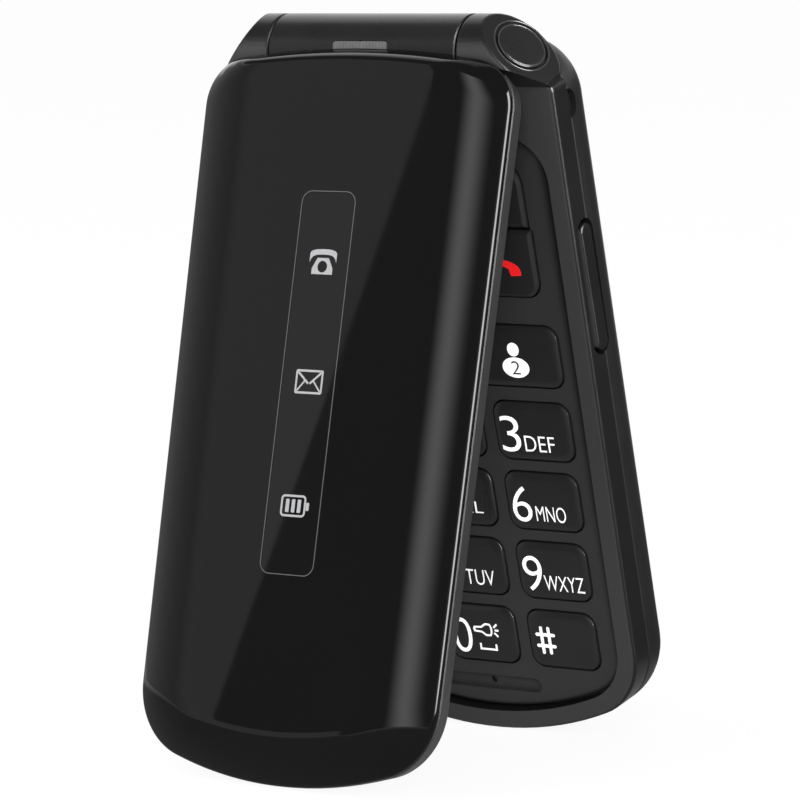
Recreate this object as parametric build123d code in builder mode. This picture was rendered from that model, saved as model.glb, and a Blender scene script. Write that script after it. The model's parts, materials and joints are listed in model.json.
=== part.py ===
"""Flip phone with big keys, standing half open like a tent on the free ends of its two halves.

Row frame, millimetres: +X across the phone, +Z up, -Y on the side of the lid's outer face. The
hinge axis runs along X at the top. Each half is drawn flat on its own plane through the hinge axis:
x across, y up towards the hinge (so a distance v down the half is y = -v) and z out of the half's
front. The lid's heights are measured from that plane out to its glossy face, and the base's depths
from that plane in, away from its keys.
"""

import os
from dataclasses import dataclass
from math import cos, radians, sin, sqrt, tan

from build123d import *

# ---------------------------------------------------------------- stance and hinge
tilt = 13.43                    # lean of each half from upright, degrees
hinge_radius = 5.1              # barrel and knuckles
barrel_half_width = 15.7        # the lid's barrel, between the knuckles
barrel_bevel = 0.16             # round the barrel's ends
side_gap = 0.15                 # end of the barrel to a knuckle
swing_gap = 0.32                # round the barrel and the knuckles
slant_angle, slant_lean = 41.0, 7.5     # the knuckles' slanted ends, degrees up and to the front
slant_margin = 4.1              # from the base's side to the middle of the end cap, along the hinge axis
cap_rise, cap_set_back = 0.65, 0.45     # the end cap's middle off the hinge axis
knuckle_round = 0.5
knuckle_flat, knuckle_flat_turn = 3.93, 38.2    # flat under its front: off the axis, degrees from down
pivot_radius = 2.2              # pivot tube and cam shaft
pivot_bore = 1.4                # way through the pivot tube for the flex
seat_wall = 3.7                 # from the pivots' seats to the slanted ends, along the axis
running_gap = 0.06              # pivots in the lid's bushes
bush_length = 4.6
spring_unit_radius = 3.5
spring_unit_length = 12.6
barrel_bore = 3.6
neck_margin = 1.1               # the tongue that ties the barrel to the lid is this much shorter, each side
neck_start = 2.4
neck_end = 6.4

# ---------------------------------------------------------------- base
base_length = 101.0             # hinge axis to the free end
base_half_width = 27.2
base_taper = 0.9                # each side draws in towards the free end
base_top = 2.7                  # top edge of the front housing
base_top_arc = 220.0
base_top_corner = 1.6
base_end_arc = 52.0
base_end_corner = 10.5
cover_top = -1.5                # the rear cover reaches up behind the hinge
cover_top_corner = 8.5
base_depth = 11.5               # thickness of the base
seam_depth = 3.7                # where the rear cover meets the front housing
seam_gap = 0.12
rim_round = 0.6
cover_wall = 1.3
cover_round = 6.5
chassis_gap = 0.2               # chassis inside the rear cover
chassis_wall = 1.3

# ---------------------------------------------------------------- keypad
border_width = 3.15
deck_top = 9.3
deck_top_arc = 60.0
deck_top_corner = 6.5
deck_end_margin = 3.1           # border below the deck
deck_end_arc = 50.0
deck_end_corner = 8.0
deck_depth = 1.3                # deck below the border
deck_thickness = 1.2
deck_gap = 0.3                  # groove round the deck
deck_round = 0.7
ledge_width = 1.5               # ledge that carries the deck
fit_gap = 0.05                  # parts that sit on each other
key_top = 0.7                   # key tops below the border
key_gap = 0.25                  # round each key
key_travel = 0.5
key_flange = 0.5                # how far a key reaches under the deck
key_flange_thickness = 0.6
key_round = 0.35
key_bevel_width, key_bevel_drop = 1.1, 0.38    # sloping edge round a key's top
cluster_bevel_width = 0.5       # the same on the keys beside the ring
key_corner = 1.9
row_gap = 2.0                   # between two rows of keys
rows_margin = 10.02             # from the last row to the free end
first_row = 51.1                # top of the first number row
middle_key_half = 5.85
side_key_inner = 8.17
key_margin = 3.25               # from the outer keys to the deck's edge
row_taper = 0.43                # each row is a little narrower than the one above
memory_top, memory_bottom = 39.8, 48.7
memory_inner = 5.95
centre_key_half = 4.3
nav_centre = 25.6               # distance of the navigation ring below the hinge
nav_radius = 8.7
ok_radius = 4.0
nav_crown = 0.3                 # the ring stands this far above the keys
cluster_top, cluster_bottom = 15.4, 35.45
cluster_inner = 4.9
soft_key_margin, call_key_margin = 1.9, 1.5     # these keys end before the outer keys do
cluster_split = 0.22            # between soft key and call or end key, each side
cluster_corner = 2.2
cluster_point = 0.2             # rounding where a cluster key meets the ring
soft_key_corner = 4.2
rocker_thickness = 0.3
rocker_gap = 0.36
rocker_inset = 0.7
ring_gap = 0.35                 # round the ring, for its rocking
pill_half, pill_height, pill_margin = 8.7, 2.2, 5.6
pill_depth = 0.8
sound_hole = 0.5
past = 1.0                      # cuts run past the faces that they open

# ---------------------------------------------------------------- inside the base
dome_gap = 0.1                  # a pressed key just reaches its dome
dome_thickness = 0.3
dome_radius = 2.6
dome_taper = 40.0
board_thickness = 0.8
board_margin = 4.8             # circuit board to the base's sides
board_top, board_end_margin = 11.0, 4.6
board_room = 1.0                # in the chassis above the board
web_thickness = 0.6
bay_margin = 8.0               # battery bay to the base's sides
bay_top, bay_end_margin = 38.0, 9.0
bay_gap = 0.2
contact_width, contact_length, contact_height = 1.0, 1.45, 1.8
contact_count, contact_pitch, contact_margin = 3, 3.0, 6.2    # the first one to the bay's side
upper_screw_margin, screw_edge = 10.2, 1.0      # base's side, and the circuit board's top edge, to a screw
lower_screw_x, lower_screw_margin = 13.0, 6.4
screw_head, screw_head_height, screw_shank = 1.5, 1.0, 0.7
screw_clearance = 0.2
boss_radius = 1.6
speaker_radius, speaker_height = 7.5, 2.6
speaker_place = (8.5, 19.3)
grille_slots, grille_pitch, grille_length, grille_width = 5, 1.9, 9.0, 0.9
motor_radius, motor_length = 2.0, 10.0
motor_place = (12.0, 32.6)
sim_width, sim_length, sim_height = 16.0, 11.0, 1.4
sim_place = (-9.5, 30.6)
jack_place, jack_length, jack_width, jack_height = 20.2, 9.0, 5.6, 4.6
jack_radius = 1.8
jack_bore = 10.2
jack_margin = 3.35              # base's side to the jack's block; its collar reaches the cover
jack_collar, jack_collar_margin = 2.3, 1.15
jack_mouth = 2.5
usb_place, usb_width, usb_depth, usb_height = 50.0, 7.8, 5.4, 2.8
usb_shell, usb_tongue = 0.35, 0.3
usb_mouth = 0.9                 # clearance round a plug's grip
antenna_half, antenna_width, antenna_margin, antenna_thickness = 9.5, 2.1, 6.0, 0.3
microphone_radius, microphone_height = 2.0, 1.3
volume_top, volume_bottom = 25.1, 43.3
volume_depths = (1.75, 4.35)
volume_gap = 0.65               # the key stands in a wider recess
volume_proud = 0.3
volume_inner_gap = 0.3          # rocking room behind the key
volume_round = 0.35
volume_flange = 0.6             # the key's inner plate, wider than its window
volume_flange_depths = (3.9, 5.95)
stem_place, stem_width = 5.0, 3.2
switch_height, switch_width, switch_depth, switch_gap = 1.4, 3.0, 2.6, 0.15
notch_top, notch_bottom, notch_reach = 6.3, 10.4, 1.6
notch_depth = 1.0
flex_thickness = 0.3
flex_front, flex_back = 0.9, 3.3    # the flat flex stands on edge between these depths
flex_turn = 1.0
flex_end = 12.5
flex_roll = 1.1                 # flex rolled up inside the pivot tube
seat_gap = 0.01
battery_round = 1.2
ring_dome_reach = 6.3
small_dome_radius = 1.7
speaker_rim = 0.8
motor_weight, motor_shaft = 3.6, 0.5
sim_lip = 0.3
antenna_notches, antenna_notch = 7, 1.4
switch_plunger = 0.6
screw_slot = 0.9
screw_taper = 25.0
screw_tip = 2.9
spring_end_gap = 0.1

# ---------------------------------------------------------------- lid
lid_margin = 1.4                # the lid is narrower than the base, each side
lid_taper = 1.0
lid_top = 0.64
lid_top_arc = 150.0
lid_top_corner = 6.9
lid_end_arc = 60.0
lid_end_corner = 10.2
lid_face = 1.0                  # inner face above the hinge plane
lid_draft = 0.5                 # side walls lean in towards the inner face
lid_seam = 3.85                 # top of the inner frame
lid_groove = 0.25
lid_top_wall = 6.9              # solid top of the lid's inner frame, below the barrel
lid_rim = 4.82                  # where the glossy cover starts to roll over
lid_height = 8.04               # glossy face above the hinge plane
crown_run = 10.5                # width of the roll
crown_top_share, crown_end_share = 0.2, 0.75
crown_steps = (0.0, 0.6, 1.8, 3.6, 5.8, 8.2, 10.5)
frame_wall = 1.8
frame_floor = 1.4
cover_cavities = ((3.2, 5.7), (7.6, 6.8))   # inset and height of the cover's stepped inside
tongue_top, tongue_drop = 0.8, 0.7
window_half, window_top, window_margin = 4.45, 20.95, 27.8
window_corner, window_thickness = 1.6, 0.8
window_gap = 0.06
window_slot_half = 3.0
icon_margin = 9.65              # first and last light to the window's ends
led_size = (3.0, 1.6, 0.7)
lens_side_margin, lens_top, lens_end_margin = 4.0, 15.0, 22.0
lens_corner, lens_thickness = 2.0, 0.75
display_side_margin, display_end_margin = 1.2, 2.6     # inside the lens's edge
display_thickness = 2.5
display_gap = 0.2
lid_board_side_margin, lid_board_top, lid_board_end_margin = 2.1, 12.6, 1.0
lid_board_thickness = 0.6
earpiece_half, earpiece_top, earpiece_bottom, earpiece_height = 6.5, 8.8, 12.8, 1.7
ear_slots, ear_pitch, ear_length, ear_width = 3, 4.2, 3.0, 1.0
magnet_margin, magnet_size = 13.0, (6.0, 3.0, 1.6)
upper_bumper_margin, upper_bumper_place = 6.1, 7.3
lower_bumper_x, lower_bumper_margin = 9.0, 2.0
bumper_radius, bumper_gap = 1.1, 0.1
torch_half, torch_top, torch_bottom = 4.55, -0.3, 2.4
torch_thickness, torch_proud, torch_gap = 0.9, 0.05, 0.08
torch_led_size = (2.4, 1.6, 0.6)
coil_radius, coil_wall, coil_length = 2.6, 1.2, 9.0
cap_radius, cap_ring_radius = 3.4, 4.05
cap_thickness, cap_ring_depth, cap_proud, cap_round = 1.0, 0.35, 0.1, 0.25
torch_corner, torch_hole = 0.4, 0.5
coil_gap, tongue_ribbon, tongue_end = 0.2, 3.4, 15.0
coil_tongue_height = 2.45
earpiece_corner = 1.8
window_bevel = 0.12
seam_bevel = 0.15               # on both sides of a seam between two shells

# ---------------------------------------------------------------- worked-out sizes
base_end_half_width = base_half_width - base_taper
deck_half_width = base_half_width - border_width
deck_end_half_width = base_end_half_width - border_width
side_key_outer = deck_half_width - key_margin
cluster_upper = side_key_outer - soft_key_margin
cluster_lower = side_key_outer - call_key_margin
key_pitch = (base_length - rows_margin - first_row + row_gap) / 4
key_height = key_pitch - row_gap
pill_bottom = base_length - pill_margin
pill_place = pill_bottom - pill_height / 2
board_half_width = base_half_width - board_margin
board_bottom = base_length - board_end_margin
bay_half_width = base_half_width - bay_margin
bay_bottom = base_length - bay_end_margin
contact_places = [bay_half_width - contact_margin - step * contact_pitch for step in range(contact_count)]
upper_screw_x = base_half_width - upper_screw_margin
board_edge = board_top + base_top_arc - sqrt(base_top_arc**2 - upper_screw_x**2)
screw_places = ((upper_screw_x, board_edge + screw_edge), (lower_screw_x, base_length - lower_screw_margin))
antenna_bottom = base_length - antenna_margin
antenna_top = antenna_bottom - antenna_width
jack_outer = base_half_width - jack_margin
jack_collar_end = base_half_width - jack_collar_margin
lid_half_width = base_half_width - lid_margin
lid_end_half_width = lid_half_width - lid_taper
window_bottom = base_length - window_margin
icon_places = (window_top + icon_margin, (window_top + window_bottom) / 2, window_bottom - icon_margin)
lens_half = lid_half_width - lens_side_margin
lens_bottom = base_length - lens_end_margin
display_half = lens_half - display_side_margin
display_top = lens_top + display_end_margin
display_bottom = lens_bottom - display_end_margin
lid_board_half = lens_half - lid_board_side_margin
lid_board_bottom = lens_bottom - lid_board_end_margin
magnet_place = base_length - magnet_margin
bumper_places = ((lid_half_width - upper_bumper_margin, upper_bumper_place),
                 (lower_bumper_x, base_length - lower_bumper_margin))
coil_left = bush_length + coil_gap - barrel_half_width
neck_half_width = barrel_half_width - neck_margin
slant_reach = base_half_width - slant_margin
deck_bottom = deck_depth + deck_thickness
flange_top = deck_bottom + 2 * fit_gap
flange_bottom = flange_top + key_flange_thickness
dome_top = flange_bottom + key_travel + dome_gap
board_front = dome_top + dome_thickness
board_back = board_front + board_thickness
web_front = board_back + 2 * fit_gap
web_back = web_front + web_thickness
cover_inner = base_depth - cover_wall
chassis_back = cover_inner - chassis_gap
chassis_front = seam_depth + seam_gap
chassis_inset = cover_wall + chassis_gap
battery_front = web_back + 2 * fit_gap
battery_back = cover_inner - 0.45
draft_slope = lid_draft / (lid_seam - seam_bevel - lid_face)
lid_length = (base_length + lid_draft + lid_face * tan(radians(tilt))
              - rim_round * (1 + draft_slope - sqrt(1 + draft_slope**2)))
knuckle_start = barrel_half_width + side_gap
pivot_seat = slant_reach - knuckle_start - seat_wall
swing_radius = hinge_radius + swing_gap
all_screws = [(side * x, v) for side in (-1, 1) for x, v in screw_places]
jack_depths = (board_front, board_front + jack_height)
jack_centre = sum(jack_depths) / 2
usb_depths = (board_back, board_back + usb_height)
usb_outer = base_half_width - cover_wall - 2 * chassis_gap
mouth_reach = past + 3 * cover_wall
display_face = lid_face + lens_thickness + fit_gap
display_back = display_face + display_thickness
lid_board_front = display_back + 2 * fit_gap
lid_board_back = lid_board_front + lid_board_thickness
nav_top = key_top - nav_crown
ring_bottom = flange_bottom - rocker_thickness
rocker_bottom = ring_bottom + rocker_gap + rocker_thickness
speaker_seat = chassis_back - speaker_height - 2 * fit_gap
screw_seat = web_back + 0.8
volume_middle = (volume_top + volume_bottom) / 2
volume_radius = (volume_depths[1] - volume_depths[0]) / 2
volume_plate_half = (volume_bottom - volume_top) / 2 + volume_gap + volume_flange
volume_side = base_half_width - (base_half_width - base_end_half_width) * volume_middle / base_length
volume_back = volume_side - cover_wall - volume_inner_gap
switch_front = board_half_width + 0.8
stem_depths = (board_back, board_back + switch_height)

foot_drop = (base_length - rim_round) * cos(radians(tilt)) - rim_round * sin(radians(tilt)) + rim_round
back_reach = ((base_length - cover_round) * sin(radians(tilt))
              + (base_depth - cover_round) * cos(radians(tilt)) + cover_round)
front_reach = ((lid_length - crown_run * crown_end_share) * sin(radians(tilt))
               + lid_height * cos(radians(tilt)))
hinge_y = (front_reach - back_reach) / 2
hinge_point = (0, hinge_y, foot_drop)

lean_sin, lean_cos = sin(radians(tilt)), cos(radians(tilt))
base_plane = Plane(origin=hinge_point, x_dir=(1, 0, 0), z_dir=(0, -lean_cos, -lean_sin))
lid_plane = Plane(origin=hinge_point, x_dir=(1, 0, 0), z_dir=(0, -lean_cos, lean_sin))
base_side = Plane(origin=hinge_point, x_dir=-base_plane.y_dir, z_dir=(1, 0, 0))
out_of_base = Axis(hinge_point, base_plane.z_dir)
out_of_lid = Axis(hinge_point, lid_plane.z_dir)


def base_level(depth):
    """Plane parallel to the keys' face, this far below the border."""
    return base_plane.offset(-depth)


def lid_level(height):
    """Plane parallel to the lid's faces, this far out from the hinge plane."""
    return lid_plane.offset(height)


def across(x):
    """Plane square to the hinge axis at x."""
    return Plane(origin=(x, hinge_y, foot_drop), x_dir=(0, 1, 0), z_dir=(1, 0, 0))


def sagitta(half_chord, radius):
    """Height of an arc over its chord."""
    return radius - sqrt(radius**2 - half_chord**2)


def disc(plane, radius, place=(0, 0)):
    """Disc on a plane, its place given as x and the distance down the half."""
    with BuildSketch(plane) as face:
        with Locations((place[0], -place[1])):
            Circle(radius)
    return face.sketch


def slab(plane, left, right, top, bottom, corner=0.0):
    """Rectangle on a plane between two sides and two distances down the half."""
    with BuildSketch(plane) as face:
        with Locations(((left + right) / 2, -(top + bottom) / 2)):
            Rectangle(right - left, bottom - top)
        if corner:
            fillet(face.vertices(), corner)
    return face.sketch


@dataclass
class Outline:
    """Plan shape of a half: arched top and end, sides that draw in slightly, rounded corners."""

    half_width: float
    end_half_width: float
    top: float
    length: float
    top_arc: float
    end_arc: float
    top_corner: float
    end_corner: float

    def sketch(self, plane, inset=0.0, top_inset=None, end_inset=None):
        """The outline on a plane, drawn in by the insets from its sides, top and end."""
        wide, narrow = self.half_width - inset, self.end_half_width - inset
        top = self.top + (inset if top_inset is None else top_inset)
        end = self.length - (inset if end_inset is None else end_inset)
        shoulder = top + sagitta(wide, self.top_arc)
        heel = end - sagitta(narrow, self.end_arc)
        with BuildSketch(plane) as face:
            with BuildLine():
                ThreePointArc((-wide, -shoulder), (0, -top), (wide, -shoulder))
                Line((wide, -shoulder), (narrow, -heel))
                ThreePointArc((narrow, -heel), (0, -end), (-narrow, -heel))
                Line((-narrow, -heel), (-wide, -shoulder))
            make_face()
            fillet(face.vertices().sort_by(Axis.Y)[-2:], max(self.top_corner - inset / 2, 1.0))
            fillet(face.vertices().sort_by(Axis.Y)[:2], max(self.end_corner - inset / 2, 1.0))
        return face.sketch


@dataclass
class KeyShape:
    """Plan shape of a key: a rounded rectangle, cut round the navigation ring where it meets it."""

    left: float
    right: float
    top: float
    bottom: float
    corner: float = key_corner
    shared: str = ""            # "top" or "bottom": the edge that faces the other key beside the ring

    def sketch(self, plane, grow=0.0):
        """The shape on a plane, drawn in, or grown on its sides but not towards the ring or a shared edge."""
        shrink = min(grow, 0)
        top = self.top - (shrink if self.shared == "top" else grow)
        bottom = self.bottom + (shrink if self.shared == "bottom" else grow)
        with BuildSketch(plane) as face:
            with Locations(((self.left + self.right) / 2, -(top + bottom) / 2)):
                Rectangle(self.right - self.left + 2 * grow, bottom - top)
            if self.shared:
                with Locations((0, -nav_centre)):
                    Circle(nav_radius + ring_gap - shrink, mode=Mode.SUBTRACT)
                outer = face.vertices().sort_by(Axis.X)
                outer = outer[-2:] if self.left > 0 else outer[:2]
                far_corner = outer.sort_by(Axis.Y)[-1 if self.shared == "bottom" else 0]
                fillet(far_corner, self.corner + grow)
                near = [point for point in face.vertices() if abs(point.X) < abs(self.left + self.right) / 2]
                fillet(near, cluster_point)
            else:
                fillet(face.vertices(), self.corner + grow)
        return face.sketch

    def flipped(self):
        """The same key on the other side of the keypad."""
        return KeyShape(-self.right, -self.left, self.top, self.bottom, self.corner, self.shared)


def row_top(row):
    """Distance of a number row's upper edge below the hinge."""
    return first_row + row * key_pitch


def number_key(row, column):
    """Shape of a number key: rows 0 to 3, columns -1, 0 and 1."""
    top = row_top(row)
    if column == 0:
        return KeyShape(-middle_key_half, middle_key_half, top, top + key_height)
    right = KeyShape(side_key_inner, side_key_outer - row * row_taper, top, top + key_height)
    return right if column > 0 else right.flipped()


number_names = (("key_1", "key_2", "key_3"), ("key_4", "key_5", "key_6"),
                ("key_7", "key_8", "key_9"), ("key_star", "key_0", "key_hash"))
key_shapes = {}
for row, names in enumerate(number_names):
    for column, key_name in enumerate(names):
        key_shapes[key_name] = number_key(row, column - 1)
key_shapes["memory_key_2"] = KeyShape(memory_inner, side_key_outer, memory_top, memory_bottom)
key_shapes["memory_key_1"] = key_shapes["memory_key_2"].flipped()
key_shapes["centre_key"] = KeyShape(-centre_key_half, centre_key_half, memory_top, memory_bottom)
key_shapes["soft_key_right"] = KeyShape(cluster_inner, cluster_upper, cluster_top,
                                        nav_centre - cluster_split, soft_key_corner, "bottom")
key_shapes["soft_key_left"] = key_shapes["soft_key_right"].flipped()
key_shapes["end_key"] = KeyShape(cluster_inner, cluster_lower, nav_centre + cluster_split,
                                 cluster_bottom, cluster_corner, "top")
key_shapes["call_key"] = key_shapes["end_key"].flipped()

base_outline = Outline(base_half_width, base_end_half_width, base_top, base_length,
                       base_top_arc, base_end_arc, base_top_corner, base_end_corner)
cover_outline = Outline(base_half_width, base_end_half_width, cover_top, base_length,
                        base_top_arc, base_end_arc, cover_top_corner, base_end_corner)
deck_outline = Outline(deck_half_width, deck_end_half_width, deck_top, base_length - deck_end_margin,
                       deck_top_arc, deck_end_arc, deck_top_corner, deck_end_corner)
lid_outline = Outline(lid_half_width, lid_end_half_width, lid_top, lid_length,
                      lid_top_arc, lid_end_arc, lid_top_corner, lid_end_corner)


def volume_pill(x, grow):
    """The volume key's pill shape on a plane square to X."""
    with BuildSketch(base_side.offset(x)) as face:
        with Locations((volume_middle, sum(volume_depths) / 2)):
            SlotOverall(volume_bottom - volume_top + 2 * grow, 2 * (volume_radius + grow))
    return face.sketch


# ================================================================ base: housing and keypad
slant_normal = (base_plane.x_dir * cos(radians(slant_angle)) + base_plane.y_dir * sin(radians(slant_angle))
                + base_plane.z_dir * tan(radians(slant_lean)))
slant_plane = Plane(origin=base_plane.from_local_coords((slant_reach, cap_rise, -cap_set_back)),
                    x_dir=base_plane.z_dir, z_dir=slant_normal)


flat_normal = (base_plane.z_dir * sin(radians(knuckle_flat_turn))
               - base_plane.y_dir * cos(radians(knuckle_flat_turn)))
knuckle_flat_plane = Plane(origin=base_plane.origin + flat_normal * knuckle_flat, z_dir=flat_normal)


def slanted_end(side, out):
    """Plane of a knuckle's slanted end, moved out along its normal; side is -1 or 1."""
    normal = slant_plane.z_dir
    centre = slant_plane.origin + normal * out
    return Plane(origin=(side * centre.X, centre.Y, centre.Z), x_dir=slant_plane.x_dir,
                 z_dir=(side * normal.X, normal.Y, normal.Z))


def flex_ribbon(grow):
    """Side shape of the flat flex from the left pivot down to the circuit board."""
    with BuildSketch(base_side.offset(-knuckle_start - pivot_seat - flex_thickness - grow)) as face:
        with Locations(((flex_end - flex_turn) / 2, (flex_front + flex_back) / 2)):
            Rectangle(flex_end + flex_turn + 2 * grow, flex_back - flex_front + 2 * grow)
        with Locations((flex_end - flex_turn / 2, (flex_front + board_front - fit_gap) / 2)):
            Rectangle(flex_turn + 2 * grow, board_front - fit_gap - flex_front)
        with Locations((0, (flex_back - flex_turn) / 2)):
            Rectangle(2 * flex_turn + 2 * grow, flex_back + flex_turn + 2 * grow)
    return face.sketch


with BuildPart() as knuckle:
    with BuildSketch(across(knuckle_start)):
        Circle(hinge_radius)
    extrude(amount=base_half_width + hinge_radius - knuckle_start)
    split(bisect_by=knuckle_flat_plane, keep=Keep.BOTTOM)
    split(bisect_by=slant_plane, keep=Keep.BOTTOM)
    fillet(knuckle.faces().sort_by(Axis(slant_plane.origin, slant_plane.z_dir))[-1].edges(), knuckle_round)
    split(bisect_by=across(base_half_width), keep=Keep.BOTTOM)

with BuildPart() as keypad_housing:
    extrude(base_outline.sketch(base_level(seam_depth)), amount=seam_depth)
    fillet(keypad_housing.faces().sort_by(out_of_base)[-1].edges(), rim_round)
    chamfer(keypad_housing.faces().sort_by(out_of_base)[0].edges(), seam_bevel)
    with BuildSketch(across(-knuckle_start)):
        Circle(swing_radius)
    extrude(amount=2 * knuckle_start, mode=Mode.SUBTRACT)
    add(knuckle.part)
    mirror(knuckle.part, about=Plane.YZ)
    extrude(deck_outline.sketch(base_level(deck_bottom + fit_gap), -deck_gap),
            amount=deck_bottom + fit_gap + past, mode=Mode.SUBTRACT)
    extrude(deck_outline.sketch(base_level(seam_depth + past), ledge_width),
            amount=seam_depth, mode=Mode.SUBTRACT)
    for place in all_screws:
        extrude(disc(base_level(board_front - fit_gap), boss_radius, place),
                amount=board_front - 2 * fit_gap - deck_bottom)
        extrude(disc(base_level(board_front), screw_shank, place), amount=board_front - screw_tip + fit_gap,
                mode=Mode.SUBTRACT)
    for side in (-1, 1):
        # Blind seat of the pivot in the knuckle, and the ring seat of the end cap.
        with BuildSketch(across(side * knuckle_start)):
            Circle(pivot_radius + seat_gap)
        extrude(amount=side * pivot_seat, mode=Mode.SUBTRACT)
        extrude(disc(slanted_end(side, past), cap_ring_radius),
                amount=-past - cap_ring_depth, mode=Mode.SUBTRACT)
        extrude(disc(slanted_end(side, past), cap_radius + fit_gap),
                amount=-past - cap_thickness, mode=Mode.SUBTRACT)
    extrude(flex_ribbon(2 * fit_gap), amount=flex_thickness + 4 * fit_gap, mode=Mode.SUBTRACT)
    # Volume key's recess, on the right side wall.
    extrude(volume_pill(base_half_width + past, volume_gap),
            amount=volume_back - volume_inner_gap - base_half_width - past, mode=Mode.SUBTRACT)
keypad_housing.part.label = "keypad_housing"

with BuildPart() as keypad_panel:
    extrude(deck_outline.sketch(base_level(deck_bottom)), amount=deck_thickness)
    fillet(keypad_panel.faces().sort_by(out_of_base)[-1].edges(), deck_round)
    for shape in key_shapes.values():
        extrude(shape.sketch(base_level(deck_bottom + past), key_gap),
                amount=deck_thickness + 2 * past, mode=Mode.SUBTRACT)
    # The ring and the four keys beside it share one opening.
    extrude(disc(base_level(deck_bottom + past), nav_radius + ring_gap + cluster_point, (0, nav_centre)),
            amount=deck_thickness + 2 * past, mode=Mode.SUBTRACT)
    extrude(slab(base_level(deck_bottom + past), -cluster_upper - key_gap, cluster_upper + key_gap,
                 nav_centre - 2 * cluster_split, nav_centre + 2 * cluster_split),
            amount=deck_thickness + 2 * past, mode=Mode.SUBTRACT)
    with BuildSketch(base_level(deck_depth + pill_depth)):
        with Locations((0, -pill_place)):
            SlotOverall(2 * pill_half, pill_height)
    extrude(amount=pill_depth + past, mode=Mode.SUBTRACT)
    extrude(disc(base_level(deck_bottom + past), sound_hole, (0, pill_place)),
            amount=deck_thickness + past, mode=Mode.SUBTRACT)
keypad_panel.part.label = "keypad_panel"


def key_cap(shape, name):
    """A key: cap with sloping edges, straight sides and a rim that stops it under the panel."""
    bevel = cluster_bevel_width if shape.shared else key_bevel_width
    with BuildPart() as key:
        extrude(shape.sketch(base_level(flange_bottom)), amount=flange_bottom - key_top - key_bevel_drop)
        loft([shape.sketch(base_level(key_top + key_bevel_drop)),
              shape.sketch(base_level(key_top), -bevel)])
        extrude(shape.sketch(base_level(flange_bottom), key_flange), amount=key_flange_thickness)
    key.part.label = name
    return key.part


keys = {name: key_cap(shape, name) for name, shape in key_shapes.items()}

with BuildPart() as nav_ring:
    extrude(disc(base_level(ring_bottom), nav_radius, (0, nav_centre)), amount=ring_bottom - nav_top)
    extrude(disc(base_level(ring_bottom + past), ok_radius + key_gap, (0, nav_centre)),
            amount=ring_bottom + 2 * past, mode=Mode.SUBTRACT)
    fillet(nav_ring.faces().sort_by(out_of_base)[-1].edges(), key_round)
nav_ring.part.label = "nav_ring"

with BuildPart() as nav_ok_key:
    extrude(disc(base_level(flange_bottom), ok_radius, (0, nav_centre)), amount=flange_bottom - key_top)
    fillet(nav_ok_key.faces().sort_by(out_of_base)[-1].edges(), key_round)
nav_ok_key.part.label = "nav_ok_key"

with BuildPart() as nav_rocker_plate:
    extrude(disc(base_level(rocker_bottom), nav_radius - rocker_inset, (0, nav_centre)),
            amount=rocker_thickness)
    extrude(disc(base_level(rocker_bottom), ok_radius + 2 * key_gap, (0, nav_centre)),
            amount=rocker_thickness, mode=Mode.SUBTRACT)
nav_rocker_plate.part.label = "nav_rocker_plate"


# ================================================================ base: shells
def bowl(back, front, inset, edge_round, front_bevel=0.0):
    """Solid tray shape of the base's back, from a depth at its back to one at its front."""
    with BuildPart() as tray:
        extrude(cover_outline.sketch(base_level(back), inset), amount=back - front)
        fillet(tray.faces().sort_by(out_of_base)[0].edges(), edge_round)
        if front_bevel:
            chamfer(tray.faces().sort_by(out_of_base)[-1].edges(), front_bevel)
    return tray.part


def side_window(out, places, depths, corner):
    """Rounded rectangle on a plane square to X, between two distances down the half and two depths."""
    with BuildSketch(base_side.offset(out)) as face:
        with Locations(((places[0] + places[1]) / 2, (depths[0] + depths[1]) / 2)):
            RectangleRounded(places[1] - places[0], depths[1] - depths[0], corner)
    return face.sketch


def around(middle, half):
    """Two places, either side of a middle."""
    return middle - half, middle + half


def side_disc(x, place, depth, radius):
    """Disc on a plane square to X."""
    with BuildSketch(base_side.offset(x)) as face:
        with Locations((place, depth)):
            Circle(radius)
    return face.sketch


cover_body = bowl(base_depth, chassis_front, 0, cover_round, seam_bevel)
cover_room = bowl(cover_inner, chassis_front - past, cover_wall, cover_round - cover_wall)
chassis_body = bowl(chassis_back, chassis_front, chassis_inset, cover_round - chassis_inset)

with BuildPart() as battery_cover:
    add(cover_body)
    add(cover_room, mode=Mode.SUBTRACT)
    with BuildSketch(across(-base_half_width)):
        Circle(swing_radius)
    extrude(amount=2 * base_half_width, mode=Mode.SUBTRACT)
    extrude(volume_pill(base_half_width + past, volume_gap),
            amount=volume_back - volume_inner_gap - base_half_width - past, mode=Mode.SUBTRACT)
    # Slot for a fingernail, beside the hinge on the right.
    extrude(side_window(base_half_width + past, (notch_top, notch_bottom), around(seam_depth, notch_reach),
                        notch_reach - seat_gap), amount=-past - notch_depth, mode=Mode.SUBTRACT)
    # Mouths for plugs on the left, open to the seam so that the cover slides off past them.
    extrude(side_window(-base_half_width - past, around(usb_place, usb_width / 2 + usb_mouth),
                        (0, usb_depths[1] + usb_mouth), usb_mouth), amount=mouth_reach, mode=Mode.SUBTRACT)
    extrude(side_window(-base_half_width - past, around(jack_place, jack_mouth),
                        (0, jack_centre + jack_mouth), jack_mouth - seat_gap),
            amount=mouth_reach, mode=Mode.SUBTRACT)
    with BuildSketch(base_level(base_depth + past)):
        with Locations((speaker_place[0], -speaker_place[1])):
            with GridLocations(0, grille_pitch, 1, grille_slots):
                SlotOverall(grille_length, grille_width)
    extrude(amount=past + 2 * cover_wall, mode=Mode.SUBTRACT)
battery_cover.part.label = "battery_cover"

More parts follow.
